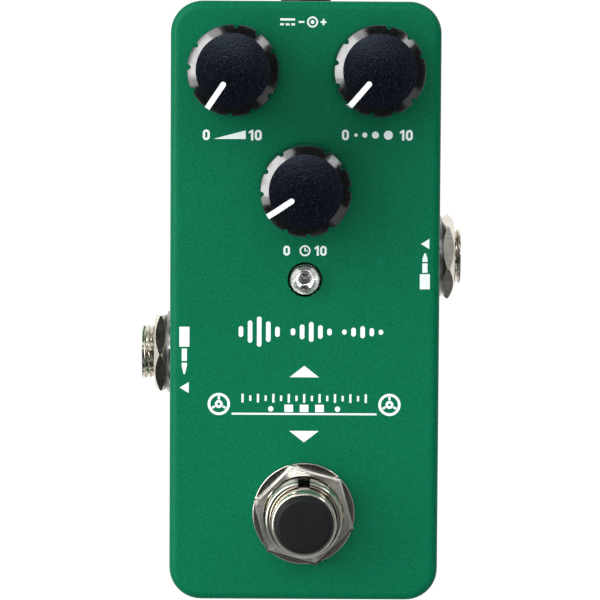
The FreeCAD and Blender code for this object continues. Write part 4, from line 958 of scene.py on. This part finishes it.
class PEDAL_OT_foot_button(bpy.types.Operator):
    """Turn the foot button's plunger and mould the cap in its top"""

    bl_idname = "pedal.foot_button"
    bl_label = "Foot button"

    def execute(self, context):
        angles = round_angles(context.scene.pedal_sizes.facets)
        low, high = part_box("plunger")
        stem, flange, tube, cup = 2.0 * MM, 6.2 * MM, 5.0 * MM, 3.4 * MM
        flange_low, flange_high = low.z + 1.4 * MM, low.z + 2.9 * MM
        ledge, floor = high.z - 0.15 * MM, high.z - 2.0 * MM
        outline = eased(
            [
                (0, low.z),
                (stem, low.z),
                (stem, flange_low),
                (flange, flange_low),
                (flange, flange_high),
                (tube, flange_high),
                (tube, high.z, 0.45 * MM),
                (4.45 * MM, high.z, 0.05 * MM),
                (4.35 * MM, ledge),
                (cup, ledge),
                (cup, floor),
                (0, floor),
            ]
        )
        mesh = turned_mesh(outline, angles)
        turned_brass("plunger_turned", mesh, "plunger", SWITCH_PLACE, body="foot_button")

        low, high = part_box("plunger_cap")
        # a peg in the plunger's cup, under a cap that rests on the ledge
        peg, edge, seat = 3.35 * MM, 4.4 * MM, low.z + 1.9 * MM
        corners = [(0, low.z), (peg, low.z), (peg, seat), (edge, seat, 0.1 * MM)]
        outline = eased([*corners, (edge, high.z - 0.05 * MM, 0.75 * MM), (0, high.z)], steps=8)
        new_piece(
            "plunger_cap_moulded",
            turned_mesh(outline, angles),
            ["moulded_black_acetal"],
            "foot_button",
            ["plunger_cap"],
            SWITCH_PLACE,
        )
        return {"FINISHED"}


class PEDAL_OT_switch_spring(bpy.types.Operator):
    """Wind the spring that lifts the foot button, on a mesh of its own"""

    bl_idname = "pedal.switch_spring"
    bl_label = "Switch spring"

    def execute(self, context):
        low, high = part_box("switch_spring")
        # nearly half a turn lies flat at each end
        wire, turns, flat, steps = context.scene.pedal_sizes.spring_wire / 2, 5, 0.45, 36
        coil = (high.x - low.x) / 2 - wire
        climb = (high.z - low.z - 2 * wire) / (turns - 2 * flat)
        loops = []
        for step in range(turns * steps + 1):
            wound = min(max(step / steps - flat, 0), turns - 2 * flat)
            around = math.tau * step / steps
            loop = []
            for angle in round_angles(10):
                r = coil + wire * math.cos(angle)
                z = low.z + wire + climb * wound + wire * math.sin(angle)
                loop.append((r * math.cos(around), r * math.sin(around), z))
            loops.append(loop)
        mesh = bmesh.new()
        skin(mesh, loops, closed=False)
        spring = new_piece(
            "switch_spring_wound",
            mesh,
            ["drawn_music_wire_zinc_plate"],
            BODY,
            ["switch_spring"],
            SWITCH_PLACE,
        )
        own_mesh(spring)
        return {"FINISHED"}


class PEDAL_OT_lamp_lens(bpy.types.Operator):
    """Cast the lamp's flanged lens with its round nose"""

    bl_idname = "pedal.lamp_lens"
    bl_label = "Lamp lens"

    def execute(self, context):
        low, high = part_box("lamp_lens")
        tall = high.z - low.z
        flange, barrel, step = high.x - LAMP.x, 2.4 * MM, 1.0 * MM
        nose = (barrel, tall, barrel - 0.02 * MM)
        outline = [(0, 0), (flange, 0, 0.1 * MM), (flange, step, 0.2 * MM), (barrel, step), nose, (0, tall)]
        mesh = turned_mesh(eased(outline, steps=14), round_angles(64))
        place = Matrix.Translation((LAMP.x, LAMP.y, low.z))
        new_piece("lamp_lens_cast", mesh, ["cast_clear_epoxy"], BODY, ["lamp_lens"], place)
        return {"FINISHED"}


class PEDAL_OT_lamp_frame(bpy.types.Operator):
    """Stamp the lead frame inside the lamp: the cup with its chip, the flag and the wire between them"""

    bl_idname = "pedal.lamp_frame"
    bl_label = "Lamp frame"

    def execute(self, context):
        foot = 4.2 * MM
        floor = foot + 0.25 * MM
        cup = [
            (0, foot),
            (0.6 * MM, foot),
            (1.45 * MM, foot + 1.1 * MM, 0.03 * MM),
            (1.32 * MM, foot + 1.14 * MM, 0.03 * MM),
            (0.95 * MM, foot + 0.5 * MM, 0.4 * MM),
            (0.45 * MM, floor, 0.2 * MM),
            (0, floor),
        ]
        mesh = turned_mesh(eased(cup), round_angles(48))
        # chip, post of the cup, post of the flag and flag: each from left, right and half depth at its
        # foot to the same at its top, with the two heights, in millimetres
        for near, levels, far in (
            ((-0.16, 0.16, 0.16), (0.3, 0.5), (-0.16, 0.16, 0.16)),
            ((-1.62, -0.9, 0.25), (-1.6, 0.02), (-1.62, 0.6, 0.25)),
            ((1.0, 1.55, 0.25), (-1.6, -0.3), (1.0, 1.55, 0.25)),
            ((1.6, 1.8, 0.3), (-0.3, 1.3), (1.55, 1.8, 0.3)),
        ):
            loops = []
            for (left, right, half), level in zip((near, far), levels):
                corners = ((left, -half), (right, -half), (right, half), (left, half))
                loops.append([(x * MM, y * MM, foot + level * MM) for x, y in corners])
            skin(mesh, loops, closed=False)
        bond, wire = [], 0.03 * MM
        for step in range(13):
            share = step / 12
            x = (0.02 + 1.65 * share) * MM
            z = foot + (0.5 + 0.8 * share + 0.5 * math.sin(math.pi * share)) * MM
            bond.append([(x + wire * math.cos(a), wire * math.sin(a), z) for a in round_angles(6)])
        skin(mesh, bond, closed=False)
        place = Matrix.Translation((LAMP.x, LAMP.y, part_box("lamp_lens")[0].z))
        new_piece("lamp_cup_and_flag", mesh, ["silver_plated_lead_frame"], BODY, place=place)
        return {"FINISHED"}


# Jacks


def jack_place(name, side):
    """Frame of a jack at the case's wall: Y up, Z out of the wall."""
    low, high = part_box(f"{name}_jack_nut")
    out, up = Vector((side, 0, 0)), Vector((0, 0, 1))
    place = Matrix((up.cross(out), up, out)).transposed().to_4x4()
    place.translation = Vector((side * WALL, (low.y + high.y) / 2, (low.z + high.z) / 2))
    return place


def out_of_wall(node, side):
    """How far outside the case's wall a jack's node starts and ends."""
    return sorted(side * corner.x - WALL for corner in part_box(node))


def tube_section(end, pitch):
    """Section of a jack's tube: its flange behind the wall, its thread outside."""
    bore, neck, flange = 3.25 * MM, 4.4 * MM, 5.2 * MM
    back, seat, front = -7.0 * MM, -3.2 * MM, -2.0 * MM
    depth, start, broken = 0.45 * MM, 0.1 * MM, 0.15 * MM
    inside = [(bore, back), (neck, back), (neck, seat), (flange, seat), (flange, front)]
    inside += [(neck, front), (neck, 0)]
    lip = [(neck - 0.4 * MM, end), (bore + broken, end), (bore, end - broken)]

    def section(angle):
        thread = thread_points(neck, depth, pitch, start, end - start, angle, steps=6)
        return [*inside, *thread, *lip]

    return section


class PEDAL_OT_jack_tubes(bpy.types.Operator):
    """Cut the jack sockets' threaded tubes"""

    bl_idname = "pedal.jack_tubes"
    bl_label = "Jack tubes"

    def execute(self, context):
        sizes = context.scene.pedal_sizes
        for name, (side, _) in JACKS.items():
            node = f"{name}_jack_bushing"
            section = tube_section(out_of_wall(node, side)[1], sizes.jack_pitch)
            mesh = turned_mesh(section, round_angles(sizes.facets))
            turned_brass(f"{name}_jack_tube_threaded", mesh, node, jack_place(name, side), sharp=40)
        return {"FINISHED"}


class PEDAL_OT_jack_nuts(bpy.types.Operator):
    """Turn the jack sockets' hexagon nuts"""

    bl_idname = "pedal.jack_nuts"
    bl_label = "Jack nuts"

    def execute(self, context):
        angles = round_angles(context.scene.pedal_sizes.facets)
        for name, (side, turn) in JACKS.items():
            node = f"{name}_jack_nut"
            near, far = out_of_wall(node, side)
            turn = math.radians(turn)
            section = nut_section(
                bore=4.42 * MM,
                flats=12 * MM,
                low=near,
                high=far,
                face=5.8 * MM,
                cone=0.0,
                drop=0.85 * MM,
                turn=turn,
                ridge=0.02 * MM,
            )
            mesh = turned_mesh(section, [turn + angle for angle in angles])
            nut = turned_brass(f"{name}_jack_nut_turned", mesh, node, jack_place(name, side), sharp=15)
            soften(nut, 0.06 * MM)
        return {"FINISHED"}


# Panel print


def disc(x, y, radius, sides=40):
    """Round outline about a point, in millimetres."""
    return [(x + radius * math.cos(a), y + radius * math.sin(a)) for a in round_angles(sides)]


def block(x, y, wide, tall):
    """Rectangular outline about a point, in millimetres."""
    return [(x + sx * wide / 2, y + sy * tall / 2) for sx, sy in ((-1, -1), (1, -1), (1, 1), (-1, 1))]


def capsule(x, y, wide, tall, sides=20):
    """Upright outline with round ends, in millimetres."""
    half, reach = wide / 2, (tall - wide) / 2
    points = []
    for lift, start in ((reach, 0), (-reach, math.pi)):
        for step in range(sides + 1):
            angle = start + math.pi * step / sides
            points.append((x + half * math.cos(angle), y + lift + half * math.sin(angle)))
    return points


def nought(x, tall=1.65, line=0.36):
    """The numeral 0 at a place along X."""
    wide = tall * 0.66
    return [capsule(x, 0, wide, tall), capsule(x, 0, wide - 2 * line, tall - 2 * line)]


def one(x, tall=1.65, line=0.36):
    """The numeral 1 at a place along X."""
    top, half = tall / 2, line / 2
    flag = [(half, top), (-half * 0.6, top), (-half - 0.34, top - 0.3), (-half - 0.34, top - 0.62)]
    stem = [(-half, top - 0.42), (-half, -top), (half, -top)]
    return [[(x + px, py) for px, py in flag + stem]]


def turned_about(outlines, x, y, degrees):
    """Outlines turned about the origin and moved to a place, in millimetres."""
    along, across = math.cos(math.radians(degrees)), math.sin(math.radians(degrees))
    return [[(x + px * along - py * across, y + px * across + py * along) for px, py in o] for o in outlines]


def plug_mark(long):
    """A jack plug lying along X, its tip to the right, as long as given in millimetres."""
    grip = long * 0.42
    left = -long / 2
    handle = [(left, -0.78), (left + grip, -0.78), (left + grip, 0.78), (left, 0.78)]
    sleeve = block(left + grip + long * 0.17, 0, long * 0.26, 0.8)
    tip = left + long * 0.76
    point = [(tip, -0.4), (tip + 0.5, -0.4), (long / 2, -0.1), (long / 2, 0.1), (tip + 0.5, 0.4), (tip, 0.4)]
    return [handle, sleeve, point]


def arrow_mark(wide, tall):
    """A solid arrowhead that points up."""
    return [[(-wide / 2, -tall / 2), (wide / 2, -tall / 2), (0, tall / 2)]]


def reel_mark(x, y, radius):
    """A tape reel with three windows and a hub."""
    inner, hub, hole = radius - 0.42, 0.62, 0.22
    arm = block(0, 0, inner - hub - 0.16, 0.34)
    out = (inner + hub) / 2
    marks = [disc(x, y, radius), disc(x, y, inner), disc(x, y, hub), disc(x, y, hole)]
    for spoke in (90, 210, 330):
        angle = math.radians(spoke)
        marks += turned_about([arm], x + out * math.cos(angle), y + out * math.sin(angle), spoke)
    return marks


def panel_marks():
    """Each printed mark of the panel: its name, place and outlines, in millimetres."""
    wedge = [[(-2.9, -0.62), (2.1, -0.62), (2.1, 0.72)]]
    dots = [disc(-3.3, 0, 0.26), disc(-1.95, 0, 0.4), disc(-0.3, 0, 0.54), disc(1.7, 0, 0.7)]
    hands = [(-0.1, -0.1), (0.42, -0.1), (0.42, 0.08), (0.1, 0.08), (0.1, 0.46), (-0.1, 0.46)]
    clock = [disc(0, 0, 0.86), disc(0, 0, 0.6), hands]
    small = {"tall": 1.55, "line": 0.34}

    # direct current, and a sleeve about a pin with the sign of each
    direct = [block(-2.5, 0.38, 2.3, 0.34), *(block(x, -0.38, 0.58, 0.34) for x in (-3.36, -2.5, -1.64))]
    ring = [disc(1.35, 0, 0.86), disc(1.35, 0, 0.6), disc(1.35, 0, 0.3)]
    minus = [block(-0.35, 0, 0.9, 0.28)]
    plus = [block(3.05, 0, 0.9, 0.28), block(3.05, 0.31, 0.28, 0.34), block(3.05, -0.31, 0.28, 0.34)]

    # three bursts of sound, each weaker than the last
    swells = []
    for start, strength in ((-10.2, 1.0), (-2.1, 0.66), (5.9, 0.4)):
        for step, tall in enumerate((0.36, 0.74, 1.0, 0.68, 0.34)):
            swells.append(capsule(start + step * 1.42, 0, 0.72, max(0.8, 4.7 * tall * strength)))

    # a tape that runs under three heads, between two reels
    tape = [block(0, -1.5, 22.6, 0.3)]
    heads = [block(x, -0.62, 1.35, 1.16) for x in (-2.4, 0.0, 2.4)]
    guides = [disc(x, -0.72, 0.42) for x in (-5.2, 5.2)]
    ticks = [block(1.2 * step, 0.95, 0.34, 0.85 if step % 2 else 1.35) for step in range(-8, 9)]
    reels = reel_mark(-13.3, 0, 1.74) + reel_mark(13.3, 0, 1.74)

    input_plug = turned_about(plug_mark(5.6), 0, -1.1, 90)
    input_arrow = turned_about(arrow_mark(1.6, 1.3), 0, 3.15, 90)
    output_plug = turned_about(plug_mark(7.4), 0, 1.5, -90)
    output_arrow = turned_about(arrow_mark(1.7, 1.4), 0, -4.3, 90)
    return {
        "level_scale": (-11.4, 26.0, nought(-4.0) + wedge + one(3.1) + nought(4.05)),
        "repeat_scale": (11.1, 26.1, nought(-4.95) + dots + one(4.0) + nought(4.95)),
        "time_scale": (0.0, 8.1, nought(-2.85, **small) + clock + one(1.98, **small) + nought(2.85, **small)),
        "power_mark": (-0.4, 43.5, direct + ring + minus + plus),
        "input_mark": (18.65, 6.1, input_plug + input_arrow),
        "output_mark": (-18.7, -9.05, output_plug + output_arrow),
        "echo_mark": (0.3, -4.55, swells),
        "upper_arrow": (0.0, -10.75, arrow_mark(4.6, 1.8)),
        "lower_arrow": (0.0, -20.95, turned_about(arrow_mark(4.6, 1.8), 0, 0, 180)),
        "tape_mark": (0.0, -15.9, reels + tape + heads + guides + ticks),
    }


class PEDAL_OT_panel_print(bpy.types.Operator):
    """Print the scales, socket marks and tape emblem on the panel"""

    bl_idname = "pedal.panel_print"
    bl_label = "Panel print"

    def execute(self, context):
        thick = context.scene.pedal_sizes.ink_height
        for name, (x, y, outlines) in panel_marks().items():
            curve = bpy.data.curves.new(name, "CURVE")
            curve.dimensions = "2D"
            curve.fill_mode = "BOTH"
            curve.extrude = thick / 2
            for outline in outlines:
                spline = curve.splines.new("POLY")
                spline.points.add(len(outline) - 1)
                for point, (px, py) in zip(spline.points, outline):
                    point.co = (px * MM, py * MM, 0, 1)
                spline.use_cyclic_u = True
            drawn = bpy.data.objects.new(name, curve)
            filled = bpy.data.meshes.new_from_object(drawn)
            if not filled.polygons:
                raise RuntimeError(f"{name} came out empty")
            mesh = bmesh.new()
            mesh.from_mesh(filled)
            bpy.data.objects.remove(drawn)
            place = Matrix.Translation((x * MM, y * MM, PANEL + thick * 0.4))
            new_piece(name, mesh, ["screen_printed_epoxy_ink"], BODY, place=place)
        return {"FINISHED"}


# Stage


def shares_of_light(tree, *rows):
    """The product of several shares, each of which a value gives between two levels of it.

    A row has the value, two levels of it and the share at each.
    """
    product = None
    for value, low, high, share_low, share_high in rows:
        feeds = {"Value": value, "From Min": low, "From Max": high, "To Min": share_low, "To Max": share_high}
        share = add(tree, "ShaderNodeMapRange", feeds)
        if product:
            share = add(tree, "ShaderNodeMath", {0: product, 1: share}, operation="MULTIPLY")
        product = share
    return product


class PEDAL_OT_stage(bpy.types.Operator):
    """Lay the paper, hang the soft lights and stand the camera over the pedal"""

    bl_idname = "pedal.stage"
    bl_label = "Stage"

    def execute(self, context):
        scene = context.scene
        mesh = bmesh.new()
        half_paper = 1.6
        bmesh.ops.create_grid(mesh, x_segments=8, y_segments=8, size=half_paper)
        data = bpy.data.meshes.new("paper")
        mesh.to_mesh(data)
        mesh.free()
        paper = bpy.data.objects.new("paper", data)
        # a hair under the pad, whose underside lies at zero height
        paper.location.z = -0.05 * MM
        scene.collection.objects.link(paper)
        data.materials.append(finish_named("matt_paper"))

        scene.view_settings.view_transform = "Standard"
        world = bpy.data.worlds.new("studio")
        world.use_nodes = True
        tree = world.node_tree
        tree.nodes.clear()
        # a pale tent lights the pedal, most from the upper left; mirrored, it is an uneven ring about a
        # dark middle, over a bright hem
        ray = add(tree, "ShaderNodeLightPath").outputs
        along = add(tree, "ShaderNodeTexCoord").outputs["Generated"]
        aloft = add(tree, "ShaderNodeSeparateXYZ", {"Vector": along}).outputs
        folds = add(tree, "ShaderNodeTexNoise", {"Vector": along, "Scale": 2.6, "Detail": 1.0})
        brightest = (-0.62, 0.37, 0.69)
        toward = add(tree, "ShaderNodeVectorMath", {0: along, 1: brightest}, operation="DOT_PRODUCT")
        fill = shares_of_light(tree, (toward, -0.3, 1.0, 0.1, 1.9))
        ring = shares_of_light(
            tree,
            # its inner and outer border, the dimmer front and the tent's folds
            (aloft["Z"], 0.985, 0.93, 0, 1),
            (aloft["Z"], 0.62, 0.78, 0, 1),
            (aloft["Y"], -0.25, 0.3, 0.1, 0.46),
            (folds, 0.35, 0.65, 0.4, 1.7),
            # brighter towards its outer border, at the left, and through the lamp's lens
            (aloft["Z"], 0.88, 0.78, 1, 3.2),
            (aloft["X"], -0.4, 0.4, 1.5, 0.7),
            (ray["Is Transmission Ray"], 0, 1, 1, 5),
        )
        hem = shares_of_light(tree, (aloft["Z"], 0.02, 0.06, 0, 1), (aloft["Z"], 0.34, 0.2, 0, 0.8))
        mirrored = add(tree, "ShaderNodeMath", {0: ring, 1: hem}, operation="ADD")
        dimmest = 0.03
        mirrored = add(tree, "ShaderNodeMath", {0: mirrored, 1: dimmest}, operation="ADD")
        # the ring is what the pedal's gloss and the lens show of the tent, and the fill is what lights it
        shown = {0: ray["Is Glossy Ray"], 1: ray["Is Transmission Ray"]}
        shown = add(tree, "ShaderNodeMath", shown, operation="MAXIMUM")
        strength = add(tree, "ShaderNodeMix", {"Factor_Float": shown, "A_Float": fill, "B_Float": mirrored})
        glow = add(tree, "ShaderNodeBackground", {"Color": linear("#EEF2F8"), "Strength": strength})
        add(tree, "ShaderNodeOutputWorld", {"Surface": glow})
        scene.world = world

        # bearing from +X and lift above the floor in degrees, distance, width, height, brightness;
        # each is aimed at the pedal's upper half, and a card is only mirrored, and lights nothing matt
        target = Vector((0, 0, 30 * MM))
        for name, bearing, lift, away, wide, tall, glare in (
            ("left_softbox", 156, 30, 0.75, 0.80, 0.20, 4.6),
            ("left_card", 154, 29, 0.78, 1.35, 0.26, 3.0),
            ("rear_softbox", 100, 74, 1.0, 0.22, 0.12, 2.6),
            ("right_strip", 47, 28, 0.7, 0.15, 0.20, 4.0),
            ("front_card", -36, 27, 0.9, 0.40, 0.22, 0.5),
        ):
            lamp = bpy.data.lights.new(name, "AREA")
            lamp.shape = "RECTANGLE"
            lamp.size, lamp.size_y = wide, tall
            lamp.energy = glare * math.pi * wide * tall
            spot = Vector((away, 0, 0))
            spot.rotate(Matrix.Rotation(-math.radians(lift), 3, "Y"))
            spot.rotate(Matrix.Rotation(math.radians(bearing), 3, "Z"))
            rig = bpy.data.objects.new(name, lamp)
            rig.location = spot + target
            rig.rotation_euler = (-spot).to_track_quat("-Z", "Y").to_euler()
            rig.visible_diffuse = not name.endswith("card")
            scene.collection.objects.link(rig)

        # the photograph was taken from half a metre above, turned a third of a degree
        eye = Vector((-2.747, 37.37, 527.221)) * MM
        aim = Vector((-0.74, 0.42, 32.5)) * MM
        ahead = (aim - eye).normalized()
        right = ahead.cross(Vector((0, 1, 0))).normalized()
        rise = right.cross(ahead)
        roll = math.radians(0.331)
        across = right * math.cos(roll) + rise * math.sin(roll)
        upward = rise * math.cos(roll) - right * math.sin(roll)
        lens = bpy.data.cameras.new("camera")
        lens.sensor_width = 36
        lens.lens = 191.416
        lens.clip_start = 0.01
        camera = bpy.data.objects.new("camera", lens)
        pose = Matrix((across, upward, -ahead)).transposed().to_4x4()
        pose.translation = eye
        camera.matrix_world = pose
        scene.collection.objects.link(camera)
        scene.camera = camera
        return {"FINISHED"}


class PEDAL_PT_sidebar(bpy.types.Panel):
    """Sizes, colours and steps of the pedal"""

    bl_label = "Tape echo pedal"
    bl_idname = "PEDAL_PT_sidebar"
    bl_space_type = "VIEW_3D"
    bl_region_type = "UI"
    bl_category = "Pedal"

    def draw(self, context):
        layout = self.layout
        for group in (context.scene.pedal_colours, context.scene.pedal_sizes):
            column = layout.column(align=True)
            for name in type(group).__annotations__:
                column.prop(group, name)
        for operator in OPERATORS:
            layout.operator(operator.bl_idname)


OPERATORS = (
    PEDAL_OT_finishes,
    PEDAL_OT_knobs,
    PEDAL_OT_pointers,
    PEDAL_OT_switch_fixings,
    PEDAL_OT_switch_neck,
    PEDAL_OT_foot_button,
    PEDAL_OT_switch_spring,
    PEDAL_OT_lamp_lens,
    PEDAL_OT_lamp_frame,
    PEDAL_OT_jack_tubes,
    PEDAL_OT_jack_nuts,
    PEDAL_OT_panel_print,
    PEDAL_OT_stage,
)
CLASSES = (PEDAL_PG_colours, PEDAL_PG_sizes, *OPERATORS, PEDAL_PT_sidebar)


def register():
    for kind in CLASSES:
        bpy.utils.register_class(kind)
    bpy.types.Scene.pedal_colours = bpy.props.PointerProperty(type=PEDAL_PG_colours)
    bpy.types.Scene.pedal_sizes = bpy.props.PointerProperty(type=PEDAL_PG_sizes)


def unregister():
    del bpy.types.Scene.pedal_sizes
    del bpy.types.Scene.pedal_colours
    for kind in reversed(CLASSES):
        bpy.utils.unregister_class(kind)


def main():
    """Register the add-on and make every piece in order."""
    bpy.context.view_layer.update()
    register()
    bpy.ops.pedal.finishes()
    bpy.ops.pedal.knobs()
    bpy.ops.pedal.pointers()
    bpy.ops.pedal.switch_fixings()
    bpy.ops.pedal.switch_neck()
    bpy.ops.pedal.foot_button()
    bpy.ops.pedal.switch_spring()
    bpy.ops.pedal.lamp_lens()
    bpy.ops.pedal.lamp_frame()
    bpy.ops.pedal.jack_tubes()
    bpy.ops.pedal.jack_nuts()
    bpy.ops.pedal.panel_print()
    bpy.ops.pedal.stage()


if __name__ == "__main__":
    main()
